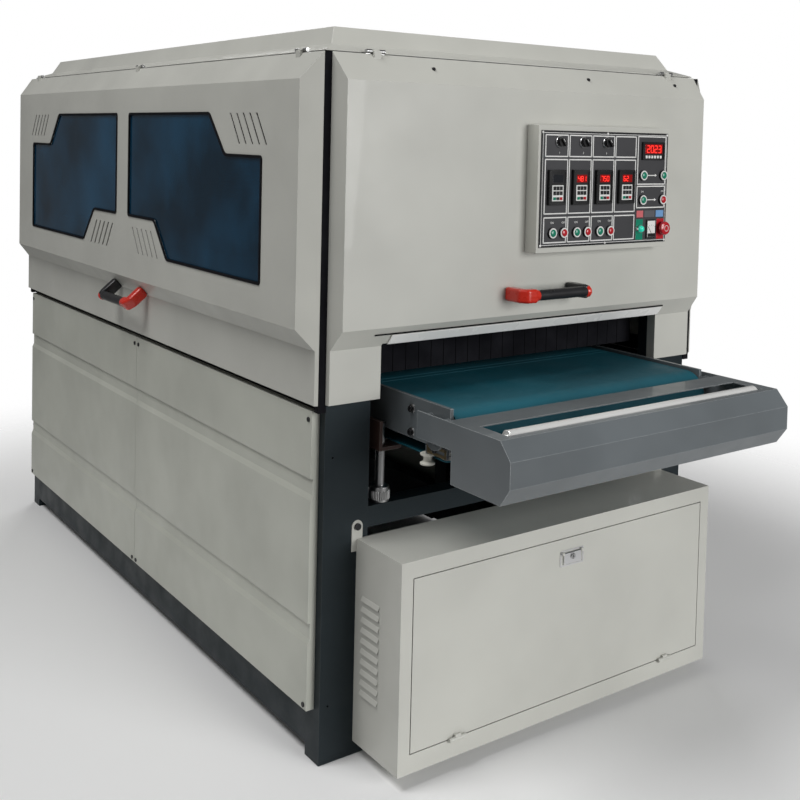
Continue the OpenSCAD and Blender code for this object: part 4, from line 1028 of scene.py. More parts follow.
@dataclass
class Keypads(PanelPart):
    """Four keypads with a bezel, a window, a white block and nine keys each.

    Spans and places are measured from the middle of a keypad.
    """

    xs: tuple[float, ...] = (-7.0, 94.5, 196.0, 297.5)
    z: float = 1632.0
    front: float = -1430.5
    readings: tuple[str, ...] = ("", "481", "750", "62")
    bezel: tuple[Span, Span] = ((-35, 35), (-54, 54))
    bezel_w: float = 5.5
    window: tuple[Span, Span] = ((-22, 22), (15, 39))
    block: tuple[Span, Span] = ((-23.5, 23.5), (-42, 7))
    figure_at: Span = (-17.0, 19.0)
    figure_size: Span = (8.5, 15.0)
    figure_pitch: float = 12.5
    key_at: Span = (-19.5, -38.5)
    key_pitch: Span = (13.5, 15.0)
    key_size: Span = (11.5, 12.0)
    low_key_h: float = 9.0

    def build(self) -> None:
        """Builds every keypad."""
        for index, x in enumerate(self.xs):
            self._keypad(f"keypad_{index + 1}", x, self.readings[index])

    def _keypad(self, name: str, x: float, reading: str) -> None:
        """Builds one keypad.

        Args:
            name: Name of the keypad.
            x: Its middle.
            reading: Figures in its window, none if it is off.
        """
        y = self.front

        def spans(box: tuple[Span, Span]) -> tuple[Span, Span]:
            """Spans of a box of this keypad."""
            return (x + box[0][0], x + box[0][1]), (self.z + box[1][0], self.z + box[1][1])

        across, high = spans(self.bezel)
        bezel = Bench.ring(name + "_bezel", Bench.rect(across, y, high), self.bezel_w,
                           (0.0, -self.bezel_rise, 0.0), 4.0)
        Bench.dress(Bench.soften(bezel, 0.7), BLACK_PLASTIC, self.body)
        across, high = spans(self.window)
        window = self._plate(name + "_window", across, (y - 1.0, y + 0.5), high)
        Bench.dress(window, DISPLAY_RED if reading else SCREEN_DARK, self.body)
        if reading:
            place = (x + self.figure_at[0], y - 1.05, self.z + self.figure_at[1])
            self._figures(name + "_figures", reading, place, self.figure_size, self.figure_pitch)
        across, high = spans(self.block)
        block = self._plate(name + "_block", across, (y - 1.2, y + 0.5), high, 1.0)
        Bench.dress(block, LINE_WHITE, self.body)
        self._keys(name, x)

    def _keys(self, name: str, x: float) -> None:
        """Builds the nine keys of one keypad, a green and a red one among them.

        Args:
            name: Name of the keypad.
            x: Its middle.
        """
        groups: dict[str, list[Piece]] = {"dark": [], "green": [], "red": []}
        for column in range(3):
            for row in range(3):
                left = x + self.key_at[0] + column * self.key_pitch[0]
                low = self.z + self.key_at[1] + row * self.key_pitch[1]
                kind = "dark" if row else ("green", "dark", "red")[column]
                groups[kind].append(self._plate(
                    "key", (left, left + self.key_size[0]), (self.front - 2.6, self.front - 1.0),
                    (low, low + (self.key_size[1] if row else self.low_key_h))))
        for kind, finish in (("dark", BLACK_PLASTIC), ("green", BUTTON_GREEN), ("red", BUTTON_RED)):
            Bench.dress(Bench.join(f"{name}_{kind}_keys", groups[kind]), finish, self.body)


@dataclass
class PanelGauges(PanelPart):
    """Height display, panel meter and pilot lamp."""

    case_y: float = -1426.5
    reading: str = "2023"
    bezel: tuple[Span, Span] = ((370.5, 473.5), (1718.5, 1777.5))
    bezel_w: float = 4.0
    figure_at: Span = (390.0, 1743.0)
    figure_size: Span = (12.0, 22.0)
    figure_pitch: float = 18.0
    window: tuple[Span, Span] = ((381.0, 464.0), (1739.0, 1770.0))
    key: tuple[Span, Span] = ((383.0, 392.0), (1724.0, 1733.0))
    key_pitch: float = 13.5
    key_count: int = 6
    dial: tuple[Span, Span] = ((404.0, 440.0), (1466.0, 1519.0))
    foot: tuple[Span, Span] = ((405.0, 439.0), (1466.5, 1478.0))
    pivot: Span = (422.0, 1478.0)
    scale_r: Span = (24.0, 29.0)
    scale_start: float = 35.0
    scale_step: float = 18.0
    stroke_count: int = 7
    needle_tip: Span = (406.0, 1500.0)
    lamp_at: Span = (369.0, 1494.0)

    def build(self) -> None:
        """Builds the three instruments."""
        self._height_display()
        self._meter()
        self._lamp()

    def _height_display(self) -> None:
        """Height display: bezel, red window with four figures and a row of small keys."""
        y = self.case_y
        bezel = Bench.ring("height_bezel", Bench.rect(self.bezel[0], y, self.bezel[1]),
                           self.bezel_w, (0.0, -self.bezel_rise, 0.0), 3.0)
        Bench.dress(Bench.soften(bezel, 0.7), BLACK_PLASTIC, self.body)
        across, high = self.window
        window = self._plate("height_window", across, (y - 1.0, y + 0.5), high)
        Bench.dress(window, DISPLAY_RED, self.body)
        place = (self.figure_at[0], y - 1.05, self.figure_at[1])
        self._figures("height_figures", self.reading, place, self.figure_size, self.figure_pitch)
        key = self._plate("key", self.key[0], (y - 2.0, y - 0.1), self.key[1])
        keys = Bench.repeat(key, (self.key_pitch, 0.0, 0.0), self.key_count)
        Bench.dress(Bench.join("height_keys", keys), LINE_WHITE, self.body)

    def _meter(self) -> None:
        """White panel meter with scale strokes and a needle."""
        y = self.case_y
        dial = self._plate("meter_dial", self.dial[0], (y - 1.0, y + 0.5), self.dial[1])
        Bench.dress(dial, LINE_WHITE, self.body)
        x, z = self.pivot
        strokes = []
        for step in range(self.stroke_count):
            angle = math.radians(self.scale_start + step * self.scale_step)
            near, far = ((x - math.cos(angle) * r, y - 1.1, z + math.sin(angle) * r)
                         for r in self.scale_r)
            strokes.append(Bench.rod("stroke", 0.4, near, far, 8))
        tip = (self.needle_tip[0], y - 1.6, self.needle_tip[1])
        strokes.append(Bench.rod("needle", 0.6, (x, y - 1.6, z), tip, 8))
        strokes.append(self._plate("foot", self.foot[0], (y - 2.2, y - 0.9), self.foot[1]))
        Bench.dress(Bench.join("meter_marks", strokes), BLACK_PLASTIC, self.body)

    def _lamp(self) -> None:
        """Pilot lamp: bright collar and a domed turquoise lens."""
        collar = [(10.9, 9.0), (13.2, 9.0), (13.6, 2.0), (14.4, 0.4), (10.9, 0.4), (10.9, 9.0)]
        lens = [(0.0, 19.0), (4.5, 18.4), (8.2, 16.2), (10.6, 12.6), (11.0, 9.1), (0.0, 9.1)]
        place = (self.lamp_at[0], self.face_y, self.lamp_at[1])
        for name, profile, finish in (("lamp_collar", collar, CHROME),
                                      ("lamp_lens", lens, LAMP_LENS)):
            Bench.dress(Bench.turned(name, profile, place, TO_FRONT), finish, self.body)


@dataclass
class PanelControls(PanelPart):
    """Push buttons, emergency stop and selector knobs."""

    pair_gap: float = 47.0
    pair_z: float = 1492.0
    stop_at: Span = (474.0, 1494.0)
    stop_mark_y: float = -1446.3
    stop_mark_r: float = 10.0
    knob_z: float = 1771.0
    knob_front: float = 24.3
    mark_lean: float = -35.0
    mark_r: float = 1.1
    mark_run: Span = (2.0, 11.5)

    def build(self) -> None:
        """Builds all controls."""
        self._buttons()
        self._stop()
        for index, x in enumerate(self.knob_xs):
            self._knob(f"selector_knob_{index + 1}", x)

    def _buttons(self) -> None:
        """Push buttons: domed cap on the button's own body, white ring and dark collar."""
        left, right = self.side_xs
        upper, lower = self.side_zs
        green = {f"start_button_{i + 1}": (x - self.pair_gap / 2, self.pair_z)
                 for i, x in enumerate(self.knob_xs)}
        green |= {"raise_button": (left, upper), "lower_button": (right, upper),
                  "feed_start_button": (left, lower)}
        red = {f"stop_button_{i + 1}": (x + self.pair_gap / 2, self.pair_z)
               for i, x in enumerate(self.knob_xs)}
        red["feed_stop_button"] = (right, lower)
        cap = [(0.0, -15.5), (10.9, -15.5), (10.9, 8.6), (9.6, 9.8), (7.0, 10.8), (3.6, 11.4),
               (0.0, 11.6)]
        ring = [(11.5, 6.1), (15.8, 6.1), (15.8, 7.2), (15.0, 8.0), (12.2, 8.0), (11.5, 7.4),
                (11.5, 6.1)]
        collar = [(15.1, 0.3), (17.4, 0.3), (17.4, 4.6), (16.2, 6.0), (15.1, 6.0), (15.1, 0.3)]
        rings, collars = [], []
        for finish, slot, places in ((BUTTON_GREEN, "button_green", green),
                                     (BUTTON_RED, "button_red", red)):
            for name, (x, z) in places.items():
                place = (x, self.face_y, z)
                top = Bench.turned(name + "_cap", cap, place, TO_FRONT, 32)
                Bench.dress(top, finish, name, slot, (name,))
                rings.append(Bench.turned("ring", ring, place, TO_FRONT, 32))
                collars.append(Bench.turned("collar", collar, place, TO_FRONT, 32))
        Bench.dress(Bench.join("button_rings", rings), LINE_WHITE, self.body)
        Bench.dress(Bench.join("button_collars", collars), BLACK_PLASTIC, self.body)

    def _stop(self) -> None:
        """Mushroom emergency stop with a dished head, a dark neck and a white ring mark."""
        head = [(0.0, 9.9), (9.2, 9.9), (20.6, 10.2), (22.6, 12.6), (22.6, 18.0), (20.8, 21.6),
                (15.5, 24.2), (8.0, 24.6), (0.0, 23.6)]
        neck = [(0.0, -15.5), (8.9, -15.5), (8.9, 9.9), (0.0, 9.9)]
        x, z = self.stop_at
        top = Bench.turned("emergency_stop_head", head, (x, self.face_y, z), TO_FRONT)
        Bench.dress(top, BUTTON_RED, "emergency_stop", "button_red", ("emergency_stop",))
        stem = Bench.turned("emergency_stop_neck", neck, (x, self.face_y, z), TO_FRONT)
        Bench.dress(stem, BLACK_PLASTIC, "emergency_stop")
        circle = [(x + self.stop_mark_r * math.cos(a), self.stop_mark_y,
                   z + self.stop_mark_r * math.sin(a))
                  for a in (math.radians(degrees) for degrees in range(0, 360, 15))]
        mark = Bench.ring("emergency_stop_arrow", circle, 1.6, (0.0, 0.6, 0.0))
        Bench.dress(mark, LINE_WHITE, "emergency_stop")

    def _knob(self, name: str, x: float) -> None:
        """Selector knob: bright collar on the face, black grip and white mark.

        Args:
            name: Name of the knob's node and body.
            x: Its middle.
        """
        collar = [(14.4, 0.4), (18.0, 0.4), (18.0, 2.6), (16.8, 4.4), (15.0, 4.6), (14.4, 4.0),
                  (14.4, 0.4)]
        band = Bench.turned(name + "_collar", collar, (x, self.face_y, self.knob_z), TO_FRONT)
        Bench.dress(band, CHROME, self.body)
        grip = Bench.merged_copy(name + "_grip", name)
        Bench.dress(Bench.soften(grip, 1.2, 3), BLACK_PLASTIC, name, "knob", (name,))
        lean = math.radians(self.mark_lean)
        ends = [(x + math.sin(lean) * run, self.face_y - self.knob_front,
                 self.knob_z + math.cos(lean) * run) for run in self.mark_run]
        Bench.dress(Bench.rod(name + "_mark", self.mark_r, *ends, 12), LINE_WHITE, name)


@dataclass
class DoorTrim:
    """Hem and bolts of the front door, and the rubber rims of the windows."""

    hem_x: Span = (-558.0, 572.0)
    seam_at: Span = (-1356.0, 1218.5)
    seam_r: float = 2.2
    seam_past: float = 60.0
    window_x: float = 832.0
    sill_z: float = 1341.0
    window_w: float = 1012.0
    window_h: float = 495.0
    gap: float = 60.0
    step_w: float = 350.0
    step_h: float = 127.0
    run: float = 112.0
    rim_lap: float = 4.0
    rim_w: float = 9.0
    rim_rise: float = 4.0
    rim_corner: float = 12.0
    bolt_xs: tuple[float, ...] = (-420.0, 205.0, 620.0)
    bolt_at: Span = (-1335.3, 1972.0)
    bolt_axis: Point = (0.0, -0.78, 0.62)

    def build(self) -> None:
        """Builds all the trim of the three doors."""
        self._hem()
        for side, door in ((-1, "left_door"), (1, "right_door")):
            for end, place in ((-1, "front"), (1, "rear")):
                self._rim(f"{door}_rim_{place}", side, end, door)
        self._bolts()

    def _outline(self) -> list[Span]:
        """Outline of one window with the rim's lap.

        Returns:
            Corners as distance from the door's middle and height.
        """
        lap = self.rim_lap
        near, far = self.gap, self.gap + self.window_w
        low, high = self.sill_z, self.sill_z + self.window_h
        return [(near - lap, low + self.step_h - lap),
                (near + self.step_w - self.run - lap, low + self.step_h - lap),
                (near + self.step_w - lap, low - lap), (far + lap, low - lap),
                (far + lap, high - self.step_h + lap),
                (far - self.step_w + self.run + lap, high - self.step_h + lap),
                (far - self.step_w + lap, high + lap), (near - lap, high + lap)]

    def _rim(self, name: str, side: int, end: int, door: str) -> None:
        """Black rubber rim round one window.

        Args:
            name: Name of the rim.
            side: -1 on the left side of the machine, 1 on the right.
            end: -1 for the front window of the door, 1 for the rear one.
            door: Body of the door.
        """
        outline = [(side * self.window_x, end * along, z) for along, z in self._outline()]
        rim = Bench.ring(name, outline, self.rim_w, (side * self.rim_rise, 0.0, 0.0),
                         self.rim_corner)
        Bench.dress(Bench.soften(rim, 1.4, 3), SEAL_RUBBER, door)

    def _hem(self) -> None:
        """Bright folded strip along the lower edge of the front door, under a dark seam."""
        left, right = self.hem_x
        section = [(-1352.5, 1215.0), (-1355.2, 1213.2), (-1333.6, 1185.0), (-1328.0, 1183.0),
                   (-1326.0, 1186.5)]
        strip = Bench.slab("front_hem", [(left, y, z) for y, z in section],
                           (right - left, 0.0, 0.0))
        Bench.dress(Bench.soften(strip, 1.2, 3), HEM, "front_door")
        seam = Bench.rod("front_hem_seam", self.seam_r, (left - self.seam_past, *self.seam_at),
                         (right, *self.seam_at), 12)
        Bench.dress(seam, SEAL_RUBBER, "front_door")

    def _bolts(self) -> None:
        """Small dark bolts along the upper slope of the front door."""
        head = [(0.0, 0.0), (6.0, 0.0), (6.0, 2.0), (4.6, 4.2), (2.8, 4.6), (2.4, 3.0), (0.0, 3.0)]
        bolts = [Bench.turned("bolt", head, (x, *self.bolt_at), self.bolt_axis, 24)
                 for x in self.bolt_xs]
        Bench.dress(Bench.join("front_door_bolts", bolts), BOLT_BLACK, "front_door")


@dataclass
class CabinetTrim:
    """Louvre hoods, lock and door seal of the electrical cabinet."""

    half: float = 632.0
    front_y: float = -1529.0
    louvre_y: Span = (-1427.0, -1341.0)
    louvre_out: float = 5.5
    first_z: float = 190.0
    pitch: float = 30.0
    count: int = 10
    lock_z: float = 524.0
    cup: tuple[Span, Span] = ((-48.0, 48.0), (496.0, 545.0))
    seal: tuple[Span, Span] = ((-600.0, 600.0), (86.0, 590.0))
    seal_in: float = 4.0

    def build(self) -> None:
        """Builds the trim of the cabinet."""
        self._louvres()
        self._lock()
        seal = Bench.ring("cabinet_seal", Bench.rect(self.seal[0], self.front_y + self.seal_in,
                                                     self.seal[1]), 9.0, (0.0, 3.0, 0.0))
        Bench.dress(seal, SEAL_RUBBER, "machine")

    def _louvres(self) -> None:
        """Pressed hoods over the slots, modelled once and repeated."""
        y0, y1 = self.louvre_y
        for side, name in ((-1, "left"), (1, "right")):
            x, out = side * self.half, side * (self.half + self.louvre_out)
            section = [(x, y0, self.first_z + 17.0), (out, y0, self.first_z + 4.5),
                       (out, y0, self.first_z + 2.0), (x, y0, self.first_z + 11.0)]
            hood = Bench.soften(Bench.slab("louvre", section, (0.0, y1 - y0, 0.0)), 0.8)
            row = Bench.repeat(hood, (0.0, 0.0, self.pitch), self.count)
            Bench.dress(Bench.join(f"cabinet_louvres_{name}", row), CASING_PAINT, "machine")

    def _lock(self) -> None:
        """Recessed cup, barrel and keyhole of the paddle lock."""
        y = self.front_y
        cup = Bench.ring("lock_cup", Bench.rect(self.cup[0], y, self.cup[1]), 4.5,
                         (0.0, -2.2, 0.0), 5.0)
        Bench.dress(Bench.soften(cup, 0.8), CHROME, "cabinet_door")
        barrel = [(0.0, 0.0), (9.0, 0.0), (9.0, 2.2), (7.8, 3.4), (6.6, 3.4), (6.2, 2.6),
                  (0.0, 2.6)]
        lock = Bench.turned("lock_barrel", barrel, (0.0, y - 6.0, self.lock_z), TO_FRONT)
        Bench.dress(lock, STEEL, "cabinet_lock")
        slit = Bench.block("lock_keyhole", (-1.2, 1.2), (y - 9.1, y - 8.4),
                           (self.lock_z - 4.5, self.lock_z + 4.5), 0.3)
        Bench.dress(slit, BOLT_BLACK, "cabinet_lock")


@dataclass
class Handles:
    """Bridge handles: tubular grip, coloured sleeve, dark far leg and end ring.

    Each is modelled with x along the grip, z away from the sheet and y across it.
    """

    length: float = 286.0
    height: float = 88.0
    axis_z: float = 71.5
    grip_r: float = 16.4
    wide: float = 42.0
    chin_at: Span = (-61.0, 1180.0)
    chin_in: float = 51.0
    chin_h: float = 60.0
    chin_up: float = 24.0
    seat_gap: float = 0.1
    side_x: float = 772.0
    front_at: Point = (-158.0, -1370.0, 1308.0)

    def build(self) -> None:
        """Places one handle on the front door and one on each side door."""
        tilt = math.atan2(self.chin_in, self.chin_h)
        chin_y, chin_z = self.chin_at
        place = Vector((0, chin_y + self.chin_in - self.chin_up * math.sin(tilt),
                        chin_z + self.chin_up * math.cos(tilt))) * MM
        chin = (Matrix.Translation(place) @ Matrix.Rotation(math.pi / 2 + tilt, 4, "X")
                @ Matrix.Translation((-self.length / 2 * MM, 0, self.seat_gap * MM)))
        left = (Matrix.Translation((-self.side_x * MM, 0, 0))
                @ Matrix.Rotation(-math.pi / 2, 4, "Z"))
        right = Matrix.Rotation(math.pi, 4, "Z") @ left
        front = (Matrix.Translation([v * MM for v in self.front_at])
                 @ Matrix.Rotation(math.pi / 2, 4, "X"))
        self._handle("front", front)
        self._handle("left", left @ Matrix.Diagonal((-1, 1, 1, 1)) @ chin)
        self._handle("right", right @ chin)

    def _leg(self, outline: list[Span]) -> Piece:
        """Rounded leg.

        Args:
            outline: Its side view.

        Returns:
            The leg.
        """
        leg = Bench.slab("leg", [(x, -self.wide / 2, z) for x, z in outline], (0.0, self.wide, 0.0))
        return Bench.soften(leg, 8.5, 4, 25.0)

    def _bar(self, profile: list[Span]) -> Piece:
        """Lathe form on the axis of the grip."""
        return Bench.turned("bar", profile, (0.0, 0.0, self.axis_z), ACROSS, 40)

    def _handle(self, side: str, turn: Matrix) -> None:
        """One handle, brought to its place.

        Args:
            side: Front, left or right.
            turn: Its place, seen from the casing's middle.
        """
        r, top = self.grip_r, self.height
        sleeve = [(0, 0), (0, top - 26), (22, top), (62, top), (62, 56), (36, 56), (36, 0)]
        far = [(252, 0), (252, 50), (262, top - 6), (276, top - 6), (285, top - 26), (285, 0)]
        socket = [(0.0, 30.0), (17.2, 30.0), (17.2, 68.0), (16.8, 70.0), (0.0, 70.0)]
        end_ring = [(0.0, 267.0), (17.0, 267.0), (18.4, 269.0), (18.4, 281.0), (15.0, 285.6),
                    (0.0, 286.0)]
        tube = [(0.0, 60.0), (r, 60.0), (r, 268.0), (0.0, 268.0)]
        middle = Matrix.Translation((0, CASING_SHIFT, 0))
        for title, node, finish, slot, parts in (
                ("_handle_sleeve", "_handle_ends", HANDLE_RED, "handle_red",
                 [self._leg(sleeve), self._bar(socket), self._bar(end_ring)]),
                ("_handle_grip", "_handle", HANDLE_BLACK, "handle_black",
                 [self._leg(far), self._bar(tube)])):
            piece = Bench.join(side + title, parts)
            piece.matrix_world = middle @ turn @ middle.inverted()
            Bench.settle(piece, side + title)
            with Bench.editing(piece):
                Bench.face_out()
            Bench.dress(piece, finish, side + "_door", slot, (side + node,))


@dataclass
class Roof:
    """Raised roof, pressed in one shell."""

    rings: tuple[Point, ...] = ((758.0, 1294.0, 2008.0), (758.0, 1294.0, 2011.3),
                                (703.0, 1230.0, 2033.0), (676.0, 1198.0, 2086.0))
    round_r: float = 3.0
    slope_turn: float = 8.0

    def build(self) -> None:
        """Builds the shell."""
        shell = Bench.soften(Bench.stack("roof_shell", self.rings), self.round_r, 3,
                             self.slope_turn)
        Bench.dress(shell, CASING_PAINT, "machine", "casing_paint", ("top_cover",))


@dataclass
class SandingHead:
    """Brush rollers, motors, strip curtains, baffles and hoses behind the doors."""

    roller_y: float = -900.0
    roller_pitch: float = 360.0
    roller_count: int = 6
    axis_z: float = 1171.0
    core_r: float = 62.0
    brush_r: float = 109.5
    half: float = 500.0
    end_gap: float = 12.0
    rows: int = 24
    fingers: int = 20
    root_in: float = 4.0
    finger_t: float = 3.0
    tip_t: float = 2.6
    bend_share: float = 0.35
    slit: float = 1.8
    motor_x: float = 595.0
    flange_half: float = 85.0
    flange_t: float = 12.0
    bolt_off: float = 70.0
    fin_count: int = 28
    curtain_ys: Span = (1204.0, 1209.0)
    strip_xs: Span = (-572.0, -548.0)
    strip_counts: tuple[int, int] = (24, 23)
    strip_w: float = 46.0
    strip_pitch: float = 48.0
    strip_z: Span = (1072.0, 1290.0)
    strip_half_t: float = 1.2
    bar_half: float = 590.0
    bar_ys: Span = (1198.0, 1215.0)
    bar_z: Span = (1262.0, 1302.0)
    baffle_half: float = 594.0
    baffle_t: float = 2.0
    baffle_z: Span = (1302.0, 1920.0)
    side_strip_xs: Span = (745.3, 748.3)
    side_strip_y: Span = (-1280.0, 1280.0)
    side_strip_z: Span = (1005.4, 1060.0)
    hood_y: float = -720.0
    hood_pitch: float = 720.0
    hood_count: int = 3
    hose_z: Span = (1480.0, 2076.0)
    hose_r: float = 79.0
    hose_wall: float = 3.4
    cuff: float = 50.0
    rib_h: float = 5.5
    rib_pitch: float = 18.0
    rib_steps: int = 8

    def build(self) -> None:
        """Builds the inside of the casing."""
        self._rollers()
        self._motors()
        self._curtains()
        self._side_shade_strips()
        self._hoses()

    def _finger_row(self, name: str, tip_r: float, sweep: float, shift: float,
                    start: float) -> Piece:
        """One row of slit strips on the first roller.

        Args:
            name: Name of the row.
            tip_r: Radius of the tips.
            sweep: Distance by which the tips lag behind the feet.
            shift: Distance of the first slit from the first strip's usual place.
            start: Distance of the row from the vertical through the axis.

        Returns:
            The row, pointing upwards.
        """
        y, z = self.roller_y, self.axis_z
        pitch = 2 * (self.half - self.end_gap) / self.fingers
        root, middle = self.core_r - self.root_in, (self.core_r + tip_r) / 2
        bend, thick = start + sweep * self.bend_share, self.finger_t
        section = [(start, root), (start + thick, root), (bend + thick, middle),
                   (start + self.tip_t + sweep, tip_r), (start + sweep, tip_r - 1.0),
                   (bend, middle)]
        left = -self.half + self.end_gap + shift
        finger = Bench.slab(name, [(left, y + a, z + b) for a, b in section],
                            (pitch - self.slit, 0.0, 0.0))
        Bench.pick(finger)
        row = finger.modifiers.new("row", "ARRAY")
        row.count = self.fingers - (1 if shift else 0)
        row.use_relative_offset = False
        row.use_constant_offset = True
        row.constant_offset_displace = (pitch * MM, 0, 0)
        bpy.ops.object.modifier_apply(modifier=row.name)
        return finger

    def _rollers(self) -> None:
        """Six rollers: drum and shaft in steel, abrasive strips and shorter backing strips."""
        centre = (0.0, self.roller_y, self.axis_z)
        drum = [(20.0, -500.0), (68.0, -500.0), (70.0, -498.0), (70.0, -491.0), (62.0, -489.0),
                (62.0, 489.0), (70.0, 491.0), (70.0, 498.0), (68.0, 500.0), (20.0, 500.0)]
        shaft = [(0.0, -630.0), (18.5, -630.0), (19.9, -628.4), (19.9, -560.0), (19.9, 560.0),
                 (19.9, 650.4), (18.5, 652.0), (0.0, 652.0)]
        strips = self._finger_row("strips", self.brush_r, 7.0, 0.0, 0.0)
        backing = self._finger_row("backing", self.brush_r - 9.0, 5.0, 24.0, 5.0)
        rows = [Bench.repeat(Bench.join(name, parts), (0.0, self.roller_pitch, 0.0),
                             self.roller_count)
                for name, parts in (("core", [Bench.turned("drum", drum, centre, ACROSS),
                                              Bench.turned("shaft", shaft, centre, ACROSS, 32)]),
                                    ("strips", Bench.spread(strips, centre, self.rows)),
                                    ("backing", Bench.spread(backing, centre, self.rows)))]
        for index, (core, brush, back) in enumerate(zip(*rows)):
            body = f"sanding_roller_{index + 1}"
            Bench.dress(Bench.join(body + "_core", [core]), STEEL, body, "steel")
            Bench.dress(Bench.join(body + "_strips", [brush]), ABRASIVE, body, "brush", (body,))
            Bench.dress(Bench.join(body + "_backing", [back]), SISAL, body)

    def _motors(self) -> None:
        """Finned motors with a terminal box, modelled once and repeated."""
        y, z, x, half = self.roller_y, self.axis_z, self.motor_x, self.flange_half
        near = x + self.flange_t
        centre = (0.0, y, z)
        shell = [(0.0, near), (78.0, near), (78.0, x + 24), (72.0, x + 27), (72.0, x + 116),
                 (79.0, x + 118), (80.5, x + 122), (80.5, x + 146), (76.0, x + 151),
                 (52.0, x + 152), (50.0, x + 149), (18.0, x + 149), (16.0, x + 152),
                 (0.0, x + 152)]
        parts = [Bench.block("flange", (x, near), (y - half, y + half), (z - half, z + half), 4, 3),
                 Bench.turned("shell", shell, centre, ACROSS)]
        fin = Bench.block("fin", (x + 26, x + 117), (y - 1.2, y + 1.2), (z + 70, z + 81.5), 0.6)
        parts += Bench.spread(fin, centre, self.fin_count)
        parts.append(Bench.block("case", (x + 38, x + 104), (y - 36, y + 36), (z + 70, z + 108),
                                 4, 3))
        parts.append(Bench.block("lid", (x + 36, x + 106), (y - 38, y + 38), (z + 104, z + 110), 2))
        motors = Bench.repeat(Bench.join("motor", parts), (0.0, self.roller_pitch, 0.0),
                              self.roller_count)
        Bench.dress(Bench.join("sanding_motor_housings", motors), MOTOR_PAINT, "machine",
                    "motor_paint", ("sanding_motors",))
        head = [(0.0, 0.0), (7.0, 0.0), (7.0, 5.0), (6.0, 6.0), (0.0, 6.0)]
        bolts = []
        for a in (-self.bolt_off, self.bolt_off):
            for b in (-self.bolt_off, self.bolt_off):
                bolt = Bench.turned("bolt", head, (near, y + a, z + b), ACROSS, 6)
                bolts += Bench.repeat(bolt, (0.0, self.roller_pitch, 0.0), self.roller_count)
        Bench.dress(Bench.join("motor_flange_bolts", bolts), BOLT_BLACK, "machine")

    def _curtains(self) -> None:
        """Two layers of dark rubber strips in each mouth, their clamping bar and a dark baffle
        above: guessed parts that also stand in as painted shade inside the casing.
        """
        for end, name, baffle_y in ((-1, "infeed", -1226.0), (1, "outfeed", 1207.0)):
            strips = []
            for y, start, count in zip(self.curtain_ys, self.strip_xs, self.strip_counts):
                middle = end * y
                strip = Bench.block("strip", (start, start + self.strip_w),
                                    (middle - self.strip_half_t, middle + self.strip_half_t),
                                    self.strip_z, 0.6)
                strips += Bench.repeat(strip, (self.strip_pitch, 0.0, 0.0), count)
            Bench.dress(Bench.join(f"{name}_curtain", strips), SEAL_RUBBER, "machine")
            bar = Bench.block(f"{name}_curtain_bar", (-self.bar_half, self.bar_half),
                              (end * self.bar_ys[0], end * self.bar_ys[1]), self.bar_z, 1.5)
            Bench.dress(bar, HEAD_PAINT, "machine")
            # Dark baffle sheet: painted shade that closes the view into the casing above the
            # curtain.
            sheet = Bench.block(f"{name}_baffle", (-self.baffle_half, self.baffle_half),
                                (baffle_y, baffle_y + self.baffle_t), self.baffle_z, 0.8)
            Bench.dress(sheet, HEAD_PAINT, "machine")

    def _side_shade_strips(self) -> None:
        """Dark rubber strips in the gap between the side doors and the panels: painted shade where
        light would show through the gap.
        """
        near, far = self.side_strip_xs
        strips = [Bench.block("strip", (side * near, side * far), self.side_strip_y,
                              self.side_strip_z, 0.8) for side in (-1, 1)]
        Bench.dress(Bench.join("side_shade_strips", strips), SEAL_RUBBER, "machine")

    def _hoses(self) -> None:
        """Ribbed hoses with smooth cuffs and two band clamps each."""
        low, high = self.hose_z
        inner, start = self.hose_r - self.hose_wall, low + self.cuff
        profile = [(inner, low), (self.hose_r, low), (self.hose_r, start)]
        count = int((high - low - 2 * self.cuff) / self.rib_pitch)
        for i in range(count * self.rib_steps + 1):
            swell = (1 - math.cos(2 * math.pi * i / self.rib_steps)) / 2
            profile.append((self.hose_r + self.rib_h * swell,
                            start + i * self.rib_pitch / self.rib_steps))
        profile += [(self.hose_r, high), (inner, high), (inner, low)]
        y, step = self.hood_y, (0.0, self.hood_pitch, 0.0)
        hose = Bench.turned("hose", profile, (0.0, y, 0.0), UP, 64)
        Bench.dress(Bench.join("dust_hoses_ribbed", Bench.repeat(hose, step, self.hood_count)),
                    HOSE, "machine", "hose", ("dust_hoses",))
        band = [(79.2, 0.0), (80.6, 0.0), (81.2, 1.2), (81.2, 10.8), (80.6, 12.0), (79.2, 12.0),
                (79.2, 0.0)]
        clamps = []
        for z in (low + 16, high - 30):
            clamps += [Bench.turned("clamp", band, (0.0, y, z), UP, 64),
                       Bench.block("screw", (-14, 14), (y - 92, y - 80), (z + 1, z + 11), 2)]
        clamps = Bench.repeat(Bench.join("clamp", clamps), step, self.hood_count)
        Bench.dress(Bench.join("hose_clamps", clamps), STEEL, "machine")


